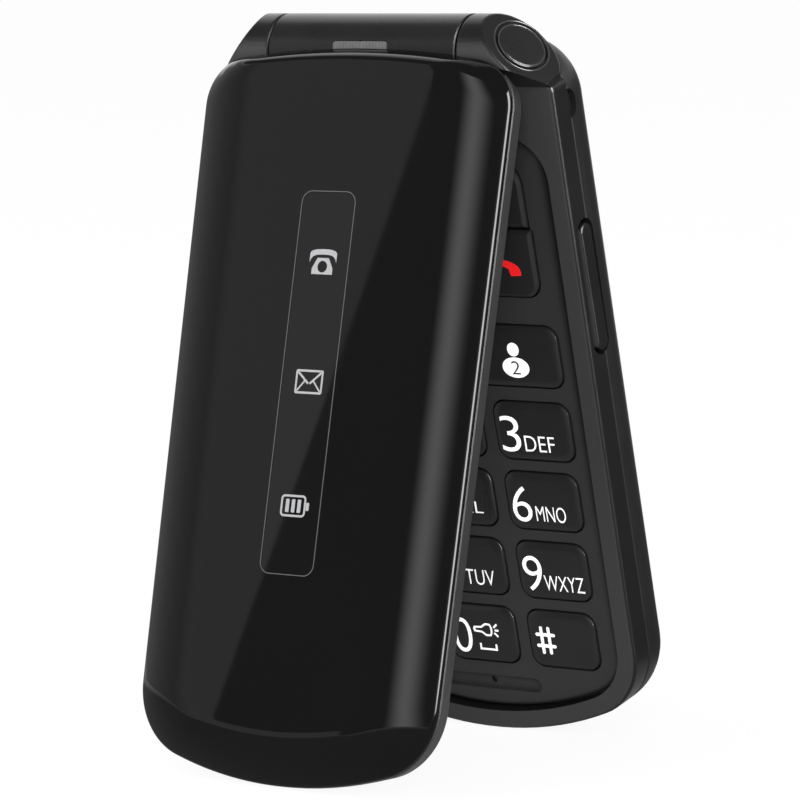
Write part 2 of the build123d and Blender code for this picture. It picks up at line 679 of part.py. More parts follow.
with BuildPart() as rear_chassis:
    add(chassis_body)
    with BuildSketch(across(-base_half_width)):
        Circle(swing_radius)
    extrude(amount=2 * base_half_width, mode=Mode.SUBTRACT)
    # Front cavity for the circuit board, and bays from the back.
    extrude(cover_outline.sketch(base_level(web_front), chassis_inset + chassis_wall,
                                 board_top - cover_top - board_room),
            amount=web_front, mode=Mode.SUBTRACT)
    rear = base_level(chassis_back + past)
    bay_cut = chassis_back + past - web_back
    extrude(slab(rear, -bay_half_width, bay_half_width, bay_top, bay_bottom), amount=bay_cut,
            mode=Mode.SUBTRACT)
    extrude(disc(rear, speaker_radius + bay_gap, speaker_place),
            amount=chassis_back + past - speaker_seat, mode=Mode.SUBTRACT)
    extrude(slab(rear, *around(sim_place[0], sim_width / 2 + bay_gap),
                 *around(sim_place[1], sim_length / 2 + bay_gap)), amount=bay_cut, mode=Mode.SUBTRACT)
    extrude(slab(rear, *around(motor_place[0], motor_length / 2 + bay_gap),
                 *around(motor_place[1], motor_radius + bay_gap)), amount=bay_cut, mode=Mode.SUBTRACT)
    extrude(slab(rear, *around(0, antenna_half + bay_gap), antenna_top - bay_gap, antenna_bottom + bay_gap),
            amount=past + 2 * antenna_thickness, mode=Mode.SUBTRACT)
    for x in contact_places:
        extrude(slab(base_level(web_back + contact_height + bay_gap), *around(x, contact_width / 2 + bay_gap),
                     bay_top - contact_length - bay_gap, bay_top + past),
                amount=contact_height + bay_gap, mode=Mode.SUBTRACT)
    for x, v in all_screws:
        extrude(disc(rear, screw_head + screw_clearance, (x, v)),
                amount=chassis_back + past - screw_seat, mode=Mode.SUBTRACT)
        extrude(disc(rear, screw_shank + screw_clearance, (x, v)), amount=chassis_back + past,
                mode=Mode.SUBTRACT)
        extrude(disc(base_level(board_back), boss_radius + bay_gap, (x, v)), amount=board_back,
                mode=Mode.SUBTRACT)
    # Windows in the side walls: jack and USB on the left, volume key on the right.
    extrude(side_window(-base_half_width, around(jack_place, jack_width / 2 + bay_gap),
                        (0, jack_depths[1] + bay_gap), bay_gap),
            amount=base_half_width - jack_outer + jack_length + bay_gap, mode=Mode.SUBTRACT)
    extrude(side_window(-base_half_width, around(usb_place, usb_width / 2 + bay_gap),
                        (0, usb_depths[1] + bay_gap), bay_gap),
            amount=base_half_width - usb_outer + usb_depth + bay_gap, mode=Mode.SUBTRACT)
    extrude(side_window(base_half_width, around(volume_middle, volume_plate_half + volume_gap),
                        (0, stem_depths[1] + bay_gap), bay_gap),
            amount=switch_front - switch_depth - bay_gap - base_half_width, mode=Mode.SUBTRACT)
rear_chassis.part.label = "rear_chassis"


# ================================================================ base: what it holds
with BuildPart() as battery:
    extrude(slab(base_level(battery_back), bay_gap - bay_half_width, bay_half_width - bay_gap,
                 bay_top + bay_gap, bay_bottom - bay_gap), amount=battery_back - battery_front)
    fillet(battery.edges().filter_by(out_of_base), battery_round)
battery.part.label = "battery"

with BuildPart() as main_circuit_board:
    extrude(cover_outline.sketch(base_level(board_back), base_half_width - board_half_width,
                                 board_top - cover_top, base_length - board_bottom), amount=board_thickness)
    extrude(slab(base_level(board_back + past), -base_half_width, jack_length - jack_outer + bay_gap,
                 *around(jack_place, jack_width / 2 + bay_gap)),
            amount=board_thickness + 2 * past, mode=Mode.SUBTRACT)
    for place in all_screws:
        extrude(disc(base_level(board_back + past), screw_shank + screw_clearance, place),
                amount=board_thickness + 2 * past, mode=Mode.SUBTRACT)
main_circuit_board.part.label = "main_circuit_board"

ring_domes = [(ring_dome_reach, 0), (-ring_dome_reach, 0), (0, ring_dome_reach), (0, -ring_dome_reach)]
with BuildPart() as key_domes:
    for shape in key_shapes.values():
        extrude(disc(base_level(board_front), dome_radius, ((shape.left + shape.right) / 2,
                                                            (shape.top + shape.bottom) / 2)),
                amount=dome_thickness, taper=dome_taper)
    for across_ring, down_ring in ring_domes + [(0, 0)]:
        extrude(disc(base_level(board_front), small_dome_radius, (across_ring, nav_centre + down_ring)),
                amount=dome_thickness, taper=dome_taper)
key_domes.part.label = "key_domes"

with BuildPart() as loudspeaker:
    extrude(disc(base_level(chassis_back - fit_gap), speaker_radius, speaker_place), amount=speaker_height)
    extrude(disc(base_level(chassis_back - fit_gap), speaker_radius - speaker_rim, speaker_place),
            amount=speaker_rim / 2, mode=Mode.SUBTRACT)
    extrude(disc(base_level(chassis_back - fit_gap), speaker_radius / 2, speaker_place), amount=speaker_rim)
loudspeaker.part.label = "loudspeaker"

with BuildPart() as microphone:
    extrude(disc(base_level(board_front), microphone_radius, (0, pill_place)),
            amount=microphone_height)
    extrude(disc(base_level(board_front - microphone_height), sound_hole, (0, pill_place)),
            amount=-microphone_height / 2, mode=Mode.SUBTRACT)
microphone.part.label = "microphone"

with BuildPart() as usb_socket:
    extrude(side_window(-usb_outer, around(usb_place, usb_width / 2), usb_depths, 2 * usb_shell),
            amount=usb_depth)
    extrude(side_window(-usb_outer, around(usb_place, usb_width / 2 - usb_shell),
                        (usb_depths[0] + usb_shell, usb_depths[1] - usb_shell), usb_shell),
            amount=usb_depth - 2 * usb_shell, mode=Mode.SUBTRACT)
    extrude(side_window(-usb_outer + usb_shell, around(usb_place, usb_width / 4),
                        around(sum(usb_depths) / 2, usb_tongue), usb_tongue / 2),
            amount=usb_depth - 2 * usb_shell)
usb_socket.part.label = "usb_socket"

with BuildPart() as headphone_jack:
    extrude(side_window(-jack_outer, around(jack_place, jack_width / 2), jack_depths, bay_gap),
            amount=jack_length)
    extrude(side_disc(-jack_collar_end, jack_place, jack_centre, jack_collar),
            amount=jack_collar_end - jack_outer)
    extrude(side_disc(-jack_collar_end, jack_place, jack_centre, jack_radius), amount=jack_bore,
            mode=Mode.SUBTRACT)
headphone_jack.part.label = "headphone_jack"

motor_left = motor_place[0] - motor_length / 2
motor_depth = web_back + motor_radius + fit_gap
with BuildPart() as vibration_motor:
    # A half-round weight on the shaft of a small can motor.
    extrude(side_disc(motor_left, motor_place[1], motor_depth, motor_radius - bay_gap), amount=motor_weight)
    extrude(side_window(motor_left, around(motor_place[1], motor_radius),
                        (motor_depth + motor_shaft, base_depth), fit_gap),
            amount=motor_weight + fit_gap, mode=Mode.SUBTRACT)
    extrude(side_disc(motor_left + motor_weight + fit_gap, motor_place[1], motor_depth, motor_radius),
            amount=motor_length - motor_weight - fit_gap)
    extrude(side_disc(motor_left, motor_place[1], motor_depth, motor_shaft), amount=motor_length)
vibration_motor.part.label = "vibration_motor"

with BuildPart() as sim_card_socket:
    sim_back = web_back + fit_gap + sim_height
    extrude(slab(base_level(sim_back), *around(sim_place[0], sim_width / 2),
                 *around(sim_place[1], sim_length / 2)), amount=sim_height)
    extrude(slab(base_level(sim_back - sim_lip), *around(sim_place[0], sim_width / 2 - sim_lip),
                 sim_place[1] - sim_length / 2 - past, sim_place[1] + sim_length / 2 - sim_lip),
            amount=sim_height - 2 * sim_lip, mode=Mode.SUBTRACT)
    extrude(slab(base_level(sim_back), *around(sim_place[0], sim_width / 4),
                 sim_place[1] - sim_length / 2, sim_place[1] + sim_length / 4),
            amount=sim_height - sim_lip, mode=Mode.SUBTRACT)
sim_card_socket.part.label = "sim_card_socket"

with BuildPart() as battery_contacts:
    for x in contact_places:
        extrude(slab(base_level(web_back + contact_height + fit_gap), x - contact_width / 2,
                     x + contact_width / 2, bay_top - contact_length, bay_top), amount=contact_height)
        extrude(slab(base_level(web_back + contact_height + fit_gap), x - contact_width / 2,
                     x + contact_width / 2, bay_top, bay_top + bay_gap - fit_gap), amount=contact_height / 2)
battery_contacts.part.label = "battery_contacts"

with BuildPart() as antenna:
    extrude(slab(base_level(chassis_back - antenna_thickness), -antenna_half, antenna_half,
                 antenna_top, antenna_bottom), amount=antenna_thickness)
    for notch in range(1, antenna_notches + 1):
        middle = -antenna_half + notch * 2 * antenna_half / (antenna_notches + 1)
        edge = antenna_top if notch % 2 else antenna_bottom
        extrude(slab(base_level(chassis_back), middle - bay_gap, middle + bay_gap,
                     edge - antenna_notch, edge + antenna_notch), amount=past, mode=Mode.SUBTRACT)
antenna.part.label = "antenna"

with BuildPart() as volume_switches:
    for v in around(volume_middle, stem_place):
        extrude(side_window(switch_front - switch_depth, around(v, switch_width / 2), stem_depths, fit_gap),
                amount=switch_depth - switch_plunger)
        extrude(side_disc(switch_front - switch_plunger, v, sum(stem_depths) / 2, switch_height / 3),
                amount=switch_plunger)
volume_switches.part.label = "volume_switches"

with BuildPart() as housing_screws:
    for x, v in all_screws:
        head = base_level(screw_seat + screw_head_height)
        extrude(disc(base_level(screw_seat), screw_head, (x, v)),
                amount=-screw_head_height, taper=screw_taper)
        extrude(disc(base_level(screw_seat), screw_shank - seat_gap, (x, v)), amount=screw_seat - screw_tip)
        extrude(slab(head, *around(x, screw_slot), *around(v, screw_slot / 3)),
                amount=screw_head_height / 2,
                mode=Mode.SUBTRACT)
        extrude(slab(head, *around(x, screw_slot / 3), *around(v, screw_slot)),
                amount=screw_head_height / 2,
                mode=Mode.SUBTRACT)
housing_screws.part.label = "housing_screws"

with BuildPart() as volume_key:
    extrude(volume_pill(volume_side + volume_proud, 0), amount=volume_back - volume_side - volume_proud)
    fillet(volume_key.faces().sort_by(Axis.X)[-1].edges(), volume_round)
    extrude(side_window(volume_back, around(volume_middle, volume_plate_half - volume_gap),
                        volume_flange_depths, volume_flange), amount=-volume_flange)
    for v in around(volume_middle, stem_place):
        extrude(side_window(volume_back - volume_flange, around(v, stem_width / 2),
                            (stem_depths[0] + fit_gap, stem_depths[1] - fit_gap), fit_gap),
                amount=switch_front + switch_gap - volume_back + volume_flange)
volume_key.part.label = "volume_key"

# ================================================================ hinge
with BuildPart() as hinge_pivot_tube:
    with BuildSketch(across(-knuckle_start - pivot_seat)):
        Circle(pivot_radius)
        Circle(pivot_bore, mode=Mode.SUBTRACT)
    extrude(amount=pivot_seat + side_gap + bush_length)
hinge_pivot_tube.part.label = "hinge_pivot_tube"

with BuildPart() as hinge_cam_shaft:
    with BuildSketch(across(barrel_half_width - bush_length)):
        Circle(pivot_radius)
    extrude(amount=bush_length + side_gap + pivot_seat)
    chamfer(hinge_cam_shaft.faces().sort_by(Axis.X)[0].edges(), key_round)
hinge_cam_shaft.part.label = "hinge_cam_shaft"

with BuildPart() as hinge_spring_unit:
    with BuildSketch(across(barrel_half_width - spring_end_gap - spring_unit_length)):
        Circle(spring_unit_radius)
    extrude(amount=spring_unit_length)
    chamfer(hinge_spring_unit.faces().sort_by(Axis.X)[0].edges(), key_round)
    with BuildSketch(across(barrel_half_width)):
        Circle(pivot_radius + running_gap)
    extrude(amount=-bush_length - 2 * fit_gap, mode=Mode.SUBTRACT)
hinge_spring_unit.part.label = "hinge_spring_unit"

with BuildPart() as flex_tail:
    extrude(flex_ribbon(0), amount=flex_thickness)
    with BuildSketch(across(-knuckle_start - pivot_seat - flex_thickness)):
        Circle(flex_roll)
    extrude(amount=flex_thickness + pivot_seat + bush_length)
flex_tail.part.label = "flex_tail"

caps = []
for side, name in ((-1, "hinge_cap_left"), (1, "hinge_cap_right")):
    with BuildPart() as cap:
        extrude(disc(slanted_end(side, cap_proud), cap_radius), amount=fit_gap - cap_thickness - cap_proud)
        outer = Axis((0, 0, 0), slanted_end(side, 0).z_dir)
        fillet(cap.faces().sort_by(outer)[-1].edges(), cap_round)
    cap.part.label = name
    caps.append(cap.part)

flex_slot = slab(lid_level(coil_tongue_height - 2 * fit_gap), coil_left - fit_gap,
                 coil_left + tongue_ribbon + fit_gap, 0, lid_top + lid_top_wall + past)

with BuildPart() as hinge_barrel:
    with BuildSketch(across(-barrel_half_width)):
        Circle(hinge_radius)
    extrude(amount=2 * barrel_half_width)
    chamfer(hinge_barrel.edges().filter_by(GeomType.CIRCLE), barrel_bevel)
    extrude(slab(lid_level(lid_face), -neck_half_width, neck_half_width, neck_start, neck_end),
            amount=lid_seam - lid_face)
    with BuildSketch(across(bush_length - barrel_half_width)):
        Circle(barrel_bore)
    extrude(amount=2 * barrel_half_width, mode=Mode.SUBTRACT)
    with BuildSketch(across(-barrel_half_width)):
        Circle(pivot_radius + running_gap)
    extrude(amount=bush_length, mode=Mode.SUBTRACT)
    # Pocket for the torch lens, its light hole, and the flex's way into the lid.
    extrude(slab(lid_level(hinge_radius - torch_thickness), -torch_half - torch_gap, torch_half + torch_gap,
                 torch_top - torch_gap, torch_bottom + torch_gap, torch_corner),
            amount=hinge_radius, mode=Mode.SUBTRACT)
    extrude(disc(lid_plane, torch_hole), amount=hinge_radius, mode=Mode.SUBTRACT)
    extrude(flex_slot, amount=flex_thickness + 4 * fit_gap, mode=Mode.SUBTRACT)
hinge_barrel.part.label = "hinge_barrel"

with BuildPart() as torch_lens:
    with BuildSketch(across(-torch_half)):
        Circle(hinge_radius + torch_proud)
    extrude(amount=2 * torch_half)
    extrude(slab(lid_level(hinge_radius - torch_thickness + fit_gap), -torch_half, torch_half, torch_top,
                 torch_bottom, torch_corner), amount=hinge_radius, mode=Mode.INTERSECT)
torch_lens.part.label = "torch_lens"

with BuildPart() as torch_led:
    with BuildSketch(lid_level(barrel_bore - torch_led_size[2] - 3 * fit_gap)):
        Rectangle(torch_led_size[0], torch_led_size[1])
    extrude(amount=torch_led_size[2])
    with BuildSketch(lid_level(barrel_bore - 3 * fit_gap)):
        Circle(torch_hole - 3 * fit_gap)
    extrude(amount=3 * fit_gap)
torch_led.part.label = "torch_led"

with BuildPart() as flex_coil:
    with BuildSketch(across(coil_left)):
        Circle(coil_radius)
    extrude(amount=coil_length)
    extrude(slab(lid_level(coil_tongue_height), coil_left, coil_left + tongue_ribbon, 0, tongue_end),
            amount=flex_thickness)
    with BuildSketch(across(coil_left)):
        Circle(coil_radius - coil_wall)
    extrude(amount=coil_length, mode=Mode.SUBTRACT)
    extrude(slab(lid_level(coil_tongue_height), coil_left, coil_left + tongue_ribbon, lid_board_top + bay_gap,
                 tongue_end), amount=lid_board_front - fit_gap - coil_tongue_height)
flex_coil.part.label = "flex_coil"


# ================================================================ lid
def crown_height(step):
    """Height of the glossy cover at this distance in from its rim."""
    return lid_height - (lid_height - lid_rim) * ((crown_run - step) / crown_run) ** 2


def lid_neck_room(level, grow):
    """Room for the barrel's neck in the lid's parts."""
    return slab(level, -neck_half_width - grow, neck_half_width + grow, -1, neck_end + grow)


with BuildPart() as lid_outer_cover:
    extrude(lid_outline.sketch(lid_level(lid_seam + lid_groove)), amount=lid_rim - lid_seam - lid_groove)
    loft([lid_outline.sketch(lid_level(crown_height(step)), step, step * crown_top_share,
                             step * crown_end_share) for step in crown_steps])
    extrude(lid_outline.sketch(lid_level(lid_seam - tongue_drop), frame_wall + 2 * fit_gap,
                               lid_top_wall + 2 * fit_gap), amount=tongue_drop + lid_groove)
    for inset, height in cover_cavities:
        extrude(lid_outline.sketch(lid_level(lid_face), inset, max(inset, lid_top_wall + tongue_top)),
                amount=height - lid_face, mode=Mode.SUBTRACT)
    with BuildSketch(across(-base_half_width)):
        Circle(swing_radius)
    extrude(amount=2 * base_half_width, mode=Mode.SUBTRACT)
    extrude(lid_neck_room(lid_level(lid_face), 2 * fit_gap), amount=lid_seam + fit_gap - lid_face,
            mode=Mode.SUBTRACT)
    extrude(slab(lid_level(lid_height - window_thickness), *around(0, window_half + window_gap),
                 window_top - window_gap, window_bottom + window_gap, window_corner),
            amount=window_thickness + past, mode=Mode.SUBTRACT)
    extrude(slab(lid_level(lid_face), -window_slot_half, window_slot_half, window_top + window_half,
                 window_bottom - window_half, window_corner), amount=lid_height, mode=Mode.SUBTRACT)
lid_outer_cover.part.label = "lid_outer_cover"

with BuildPart() as indicator_window:
    extrude(slab(lid_level(lid_height - window_thickness + seat_gap), -window_half, window_half, window_top,
                 window_bottom, window_corner), amount=window_thickness - seat_gap)
    chamfer(indicator_window.faces().sort_by(out_of_lid)[-1].edges(), window_bevel)
indicator_window.part.label = "indicator_window"

with BuildPart() as indicator_lights:
    for v in icon_places:
        extrude(slab(lid_level(lid_board_back), -led_size[0] / 2, led_size[0] / 2, v - led_size[1] / 2,
                     v + led_size[1] / 2), amount=led_size[2])
indicator_lights.part.label = "indicator_lights"

with BuildPart() as lid_inner_frame:
    loft([lid_outline.sketch(lid_level(lid_face), lid_draft),
          lid_outline.sketch(lid_level(lid_seam - seam_bevel))])
    fillet(lid_inner_frame.faces().sort_by(out_of_lid)[0].edges(), rim_round)
    loft([lid_outline.sketch(lid_level(lid_seam - seam_bevel)),
          lid_outline.sketch(lid_level(lid_seam), seam_bevel)])
    extrude(lid_outline.sketch(lid_level(lid_face + frame_floor), frame_wall, lid_top_wall),
            amount=lid_seam, mode=Mode.SUBTRACT)
    extrude(flex_slot, amount=flex_thickness + 4 * fit_gap, mode=Mode.SUBTRACT)
    with BuildSketch(across(-base_half_width)):
        Circle(swing_radius)
    extrude(amount=2 * base_half_width, mode=Mode.SUBTRACT)
    extrude(lid_neck_room(lid_level(0), 2 * fit_gap), amount=lid_height, mode=Mode.SUBTRACT)
    extrude(slab(lid_level(0), -lens_half - 2 * fit_gap, lens_half + 2 * fit_gap, lens_top - 2 * fit_gap,
                 lens_bottom + 2 * fit_gap, lens_corner), amount=display_face, mode=Mode.SUBTRACT)
    extrude(slab(lid_level(0), *around(0, display_half + display_gap),
                 display_top - display_gap, display_bottom + display_gap),
            amount=lid_height, mode=Mode.SUBTRACT)
    with BuildSketch(lid_level(0)):
        with Locations((0, -(earpiece_top + earpiece_bottom) / 2)):
            with GridLocations(ear_pitch, 0, ear_slots, 1):
                SlotOverall(ear_length, ear_width)
    extrude(amount=lid_height, mode=Mode.SUBTRACT)
lid_inner_frame.part.label = "lid_inner_frame"

with BuildPart() as display_lens:
    extrude(slab(lid_level(lid_face), -lens_half, lens_half, lens_top, lens_bottom, lens_corner),
            amount=lens_thickness)
display_lens.part.label = "display_lens"

with BuildPart() as display_module:
    extrude(slab(lid_level(display_face), -display_half, display_half, display_top, display_bottom),
            amount=display_thickness)
display_module.part.label = "display_module"

with BuildPart() as lid_circuit_board:
    extrude(slab(lid_level(lid_board_front), -lid_board_half, lid_board_half, lid_board_top, lid_board_bottom,
                 lens_corner), amount=lid_board_thickness)
lid_circuit_board.part.label = "lid_circuit_board"

with BuildPart() as earpiece:
    extrude(slab(lid_level(lid_face + frame_floor + fit_gap), -earpiece_half, earpiece_half, earpiece_top,
                 earpiece_bottom, earpiece_corner), amount=earpiece_height)
    fillet(earpiece.faces().sort_by(out_of_lid)[-1].edges(), key_round)
earpiece.part.label = "earpiece"

with BuildPart() as closing_magnet:
    extrude(slab(lid_level(lid_face + frame_floor + fit_gap), *around(0, magnet_size[0] / 2),
                 *around(magnet_place, magnet_size[1] / 2), rim_round), amount=magnet_size[2])
closing_magnet.part.label = "closing_magnet"

with BuildPart() as lid_bumpers:
    for side in (-1, 1):
        for x, v in bumper_places:
            extrude(disc(lid_level(bumper_gap), bumper_radius, (side * x, v)), amount=lid_face - bumper_gap)
lid_bumpers.part.label = "lid_bumpers"

# ================================================================ files
os.makedirs("parts", exist_ok=True)
finished = [keypad_housing, keypad_panel, nav_ring, nav_ok_key, nav_rocker_plate, battery_cover, rear_chassis,
            battery, main_circuit_board, key_domes, loudspeaker, microphone, usb_socket, headphone_jack,
            vibration_motor, sim_card_socket, battery_contacts, antenna, volume_switches, housing_screws,
            volume_key, hinge_pivot_tube, hinge_cam_shaft, hinge_spring_unit, flex_tail, hinge_barrel,
            torch_lens, torch_led, flex_coil, lid_outer_cover, indicator_window, indicator_lights,
            lid_inner_frame, display_lens, display_module, lid_circuit_board, earpiece, closing_magnet,
            lid_bumpers]
for node in [piece.part for piece in finished] + list(keys.values()) + caps:
    export_step(node, f"parts/{node.label}.step")
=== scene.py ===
"""Studio scene of a big-key flip phone that stands half open like a tent.

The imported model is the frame. The lid's glossy shell and the rectangular keys are built here as finer
meshes, the print on the keys and the icons on the lid are added, and every other node is dressed with
a procedural finish.

Sizes in the classes are millimetres, on the phone's own halves: x across, v down a half from the hinge
axis, and out from the plane through the hinge on that half's front.
"""

import json
import logging
import math
from dataclasses import dataclass, field
from enum import Enum
from typing import Iterable, Mapping, Sequence, Union

import bmesh
import bpy
from mathutils import Matrix, Vector


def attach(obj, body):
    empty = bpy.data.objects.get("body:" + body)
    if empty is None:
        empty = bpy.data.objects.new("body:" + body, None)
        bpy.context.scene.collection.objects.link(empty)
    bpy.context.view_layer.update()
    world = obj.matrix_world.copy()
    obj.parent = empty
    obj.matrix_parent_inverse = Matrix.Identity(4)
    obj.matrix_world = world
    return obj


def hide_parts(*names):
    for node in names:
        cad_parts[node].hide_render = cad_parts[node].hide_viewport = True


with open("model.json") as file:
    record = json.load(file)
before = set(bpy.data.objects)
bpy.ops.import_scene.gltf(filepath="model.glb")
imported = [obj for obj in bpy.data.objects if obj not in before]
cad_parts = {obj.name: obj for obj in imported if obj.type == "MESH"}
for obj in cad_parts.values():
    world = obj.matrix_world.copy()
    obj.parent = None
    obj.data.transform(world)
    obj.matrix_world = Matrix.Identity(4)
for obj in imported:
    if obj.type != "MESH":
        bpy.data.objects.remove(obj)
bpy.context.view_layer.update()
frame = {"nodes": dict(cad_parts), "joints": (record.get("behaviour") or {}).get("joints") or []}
LOG = logging.getLogger("flip_phone")

MM = 0.001
TILT = math.radians(13.43)
Flat = tuple[float, float]
Loop = list[Flat]


# ---------------------------------------------------------------------------------- places
@dataclass(frozen=True)
class Half:
    """One half of the phone as a frame: x across, v down from the hinge, out of its front."""

    hinge: Vector
    outward: Vector
    down: Vector

    @classmethod
    def leaning(cls, hinge: Vector, tilt: float) -> "Half":
        """Make a half that leans by a tilt.

        Args:
            hinge: Middle of the hinge axis, in metres.
            tilt: Lean in radians, positive for the lid and negative for the keypad half.

        Returns:
            The half's frame.
        """
        cosine, sine = math.cos(tilt), math.sin(tilt)
        return cls(hinge, Vector((0, -cosine, sine)), Vector((0, -sine, -cosine)))

    def at(self, x: float, v: float, out: float) -> Vector:
        """Give a place on this half in the row frame.

        Args:
            x: Distance across, mm.
            v: Distance down the half from the hinge axis, mm.
            out: Distance out of the half's front, mm.

        Returns:
            The point in metres.
        """
        return self.hinge + (Vector((1, 0, 0)) * x + self.down * v + self.outward * out) * MM


HINGE = Vector(next(joint["pos_m"] for joint in frame["joints"] if joint["name"] == "lid_hinge"))
LID = Half.leaning(HINGE, TILT)
BASE = Half.leaning(HINGE, -TILT)


# ---------------------------------------------------------------------------------- shader maths
class Signal:
    """A shader value that Python operators turn into Math nodes."""

    def __init__(self, shader: "NodeTree", socket: bpy.types.NodeSocket) -> None:
        """Wrap a socket of a shader's tree."""
        self.shader = shader
        self.socket = socket

    def _math(self, operation: str, first: "Value", second: "Value" = 0.0) -> "Signal":
        """Add one Math node and return its result."""
        node = self.shader.node("ShaderNodeMath", {"operation": operation}, {0: first, 1: second})
        return Signal(self.shader, node.outputs[0])

    def __add__(self, other: "Value") -> "Signal":
        """Sum."""
        return self._math("ADD", self, other)

    __radd__ = __add__

    def __mul__(self, other: "Value") -> "Signal":
        """Product."""
        return self._math("MULTIPLY", self, other)

    __rmul__ = __mul__

    def __sub__(self, other: "Value") -> "Signal":
        """Difference."""
        return self._math("SUBTRACT", self, other)

    def __rsub__(self, other: "Value") -> "Signal":
        """Difference, reflected."""
        return self._math("SUBTRACT", other, self)

    def sine(self) -> "Signal":
        """Sine of the value."""
        return self._math("SINE", self)

    def size(self) -> "Signal":
        """Value without its sign."""
        return self._math("ABSOLUTE", self)

    def above(self, level: float) -> "Signal":
        """One where the value is over a level, else zero."""
        return self._math("GREATER_THAN", self, level)

    def ease(self, low: float, high: float) -> "Signal":
        """Smooth step from 0 at one level to 1 at the other."""
        node = self.shader.node("ShaderNodeMapRange", {"interpolation_type": "SMOOTHSTEP"},
                                {"Value": self, "From Min": low, "From Max": high})
        return Signal(self.shader, node.outputs["Result"])


Value = Union[Signal, float]
Colour = tuple[float, float, float]
Feed = Union[Signal, bpy.types.NodeSocket, float, Sequence[float]]


class NodeTree:
    """A tree of nodes that is cleared and then filled by one method."""

    def __init__(self, tree: bpy.types.NodeTree) -> None:
        """Take over an empty tree."""
        self.tree = tree
        self.tree.nodes.clear()

    def feed(self, socket: bpy.types.NodeSocket, value: Feed) -> None:
        """Link or set one input.

        Args:
            socket: The input.
            value: A signal, another node's output, a number or a colour.
        """
        if isinstance(value, Signal):
            self.tree.links.new(value.socket, socket)
        elif isinstance(value, bpy.types.NodeSocket):
            self.tree.links.new(value, socket)
        else:
            socket.default_value = value

    def node(self, kind: str, settings: Mapping[str, object] | None = None,
             inputs: Mapping[str | int, Feed] | None = None) -> bpy.types.Node:
        """Add a node, set it up and feed it.

        Args:
            kind: Blender's node type.
            settings: Attributes to set first; "stops" gives a ramp's positions and colours.
            inputs: Values or links by socket name or number.

        Returns:
            The new node.
        """
        node = self.tree.nodes.new(kind)
        for key, value in (settings or {}).items():
            if key == "stops":
                for index, (position, colour) in enumerate(value):
                    stop = (node.color_ramp.elements[index] if index < 2
                            else node.color_ramp.elements.new(position))
                    stop.position, stop.color = position, (*colour, 1.0)
            else:
                setattr(node, key, value)
        for key, value in (inputs or {}).items():
            self.feed(node.inputs[key], value)
        return node

    def seen(self) -> Signal:
        """One for rays that show the background, in sight, reflected or through glass."""
        paths = self.node("ShaderNodeLightPath").outputs
        total = (Signal(self, paths["Is Camera Ray"]) + Signal(self, paths["Is Glossy Ray"])
                 + Signal(self, paths["Is Transmission Ray"]))
        return total.above(0.5)


class Shader(NodeTree):
    """The node tree of one material, around its principled shader."""

    def __init__(self, name: str) -> None:
        """Start an empty material with a principled surface."""
        self.material = bpy.data.materials.new(name)
        self.material.use_nodes = True
        super().__init__(self.material.node_tree)
        self.surface = self.node("ShaderNodeBsdfPrincipled")
        self.output = self.node("ShaderNodeOutputMaterial", inputs={"Surface": self.surface.outputs["BSDF"]})
        self.place = self.node("ShaderNodeTexCoord").outputs["Object"]

    def noise(self, size_mm: float, detail: float = 2.0, stretch: Sequence[float] = (1, 1, 1)) -> Signal:
        """Noise with features of a size.

        Args:
            size_mm: Feature size.
            detail: Levels of finer noise.
            stretch: How much the pattern is drawn out along each axis.

        Returns:
            The noise value, 0 to 1.
        """
        scale = [1 / (size_mm * MM * part) for part in stretch]
        mapped = self.node("ShaderNodeMapping", inputs={"Vector": self.place, "Scale": scale})
        node = self.node("ShaderNodeTexNoise", inputs={
            "Vector": mapped.outputs[0], "Scale": 1.0, "Detail": detail})
        return Signal(self, node.outputs["Fac"])

    def cells(self, size_mm: float, feature: str = "F1") -> Signal:
        """Distance pattern of random cells of a size."""
        node = self.node("ShaderNodeTexVoronoi", {"feature": feature},
                         {"Vector": self.place, "Scale": 1 / (size_mm * MM)})
        return Signal(self, node.outputs["Distance"])

    def facing(self, direction: Vector) -> Signal:
        """How far the surface faces a direction of the row frame, 1 when square to it."""
        normal = self.node("ShaderNodeNewGeometry").outputs["True Normal"]
        node = self.node("ShaderNodeVectorMath", {"operation": "DOT_PRODUCT"}, {0: normal, 1: direction})
        return Signal(self, node.outputs["Value"])

    def along(self, axis: str) -> Signal:
        """One coordinate of the surface point, in metres."""
        node = self.node("ShaderNodeSeparateXYZ", inputs={"Vector": self.place})
        return Signal(self, node.outputs[axis])

    def wave(self, axis: str, pitch_mm: float) -> Signal:
        """Sine wave along an axis, -1 to 1."""
        return (self.along(axis) * (2 * math.pi / (pitch_mm * MM))).sine()

    def blend(self, factor: Value, first: Colour, second: Colour) -> bpy.types.NodeSocket:
        """Mix two colours by a factor."""
        node = self.node("ShaderNodeMix", {"data_type": "RGBA"},
                         {0: factor, 6: (*first, 1.0), 7: (*second, 1.0)})
        return node.outputs[2]

    def bump(self, height: Signal, depth_mm: float) -> None:
        """Send a height to the surface's normal.

        Args:
            height: Height pattern, about 0 to 1.
            depth_mm: Depth of the whole range.
        """
        node = self.node("ShaderNodeBump", inputs={
            "Height": height, "Distance": depth_mm * MM, "Strength": 1.0})
        self.feed(self.surface.inputs["Normal"], node.outputs["Normal"])


class Pattern(Enum):
    """Small-scale structure of a finish, or how its colour is spread; two of them paint light and shade into
    the colour.
    """

    SPARK = "fine spark-eroded mould grain"
    LACQUER = "almost perfect lacquer"
    BRUSHED = "brushed lines"
    CAST = "cast and shot-blasted"
    TRACKS = "circuit board tracks"
    RIBS = "fine moulded ribs"
    WRAP = "thin film with a soft wave"
    INK = "screen-printed ink"
    PIXELS = "display cells"
    # Painted shade: the deck's colour darkens towards its sides, where it rolls into its groove.
    ROLL_SHADED = "moulded grain, darker where the deck rolls into its groove"
    # Painted light and shade: the face that looks out of the keypad half is lighter, the sides are darker.
    FACE_LIT_SIDES_SHADED = "moulded grain, lighter on the face round the keys"
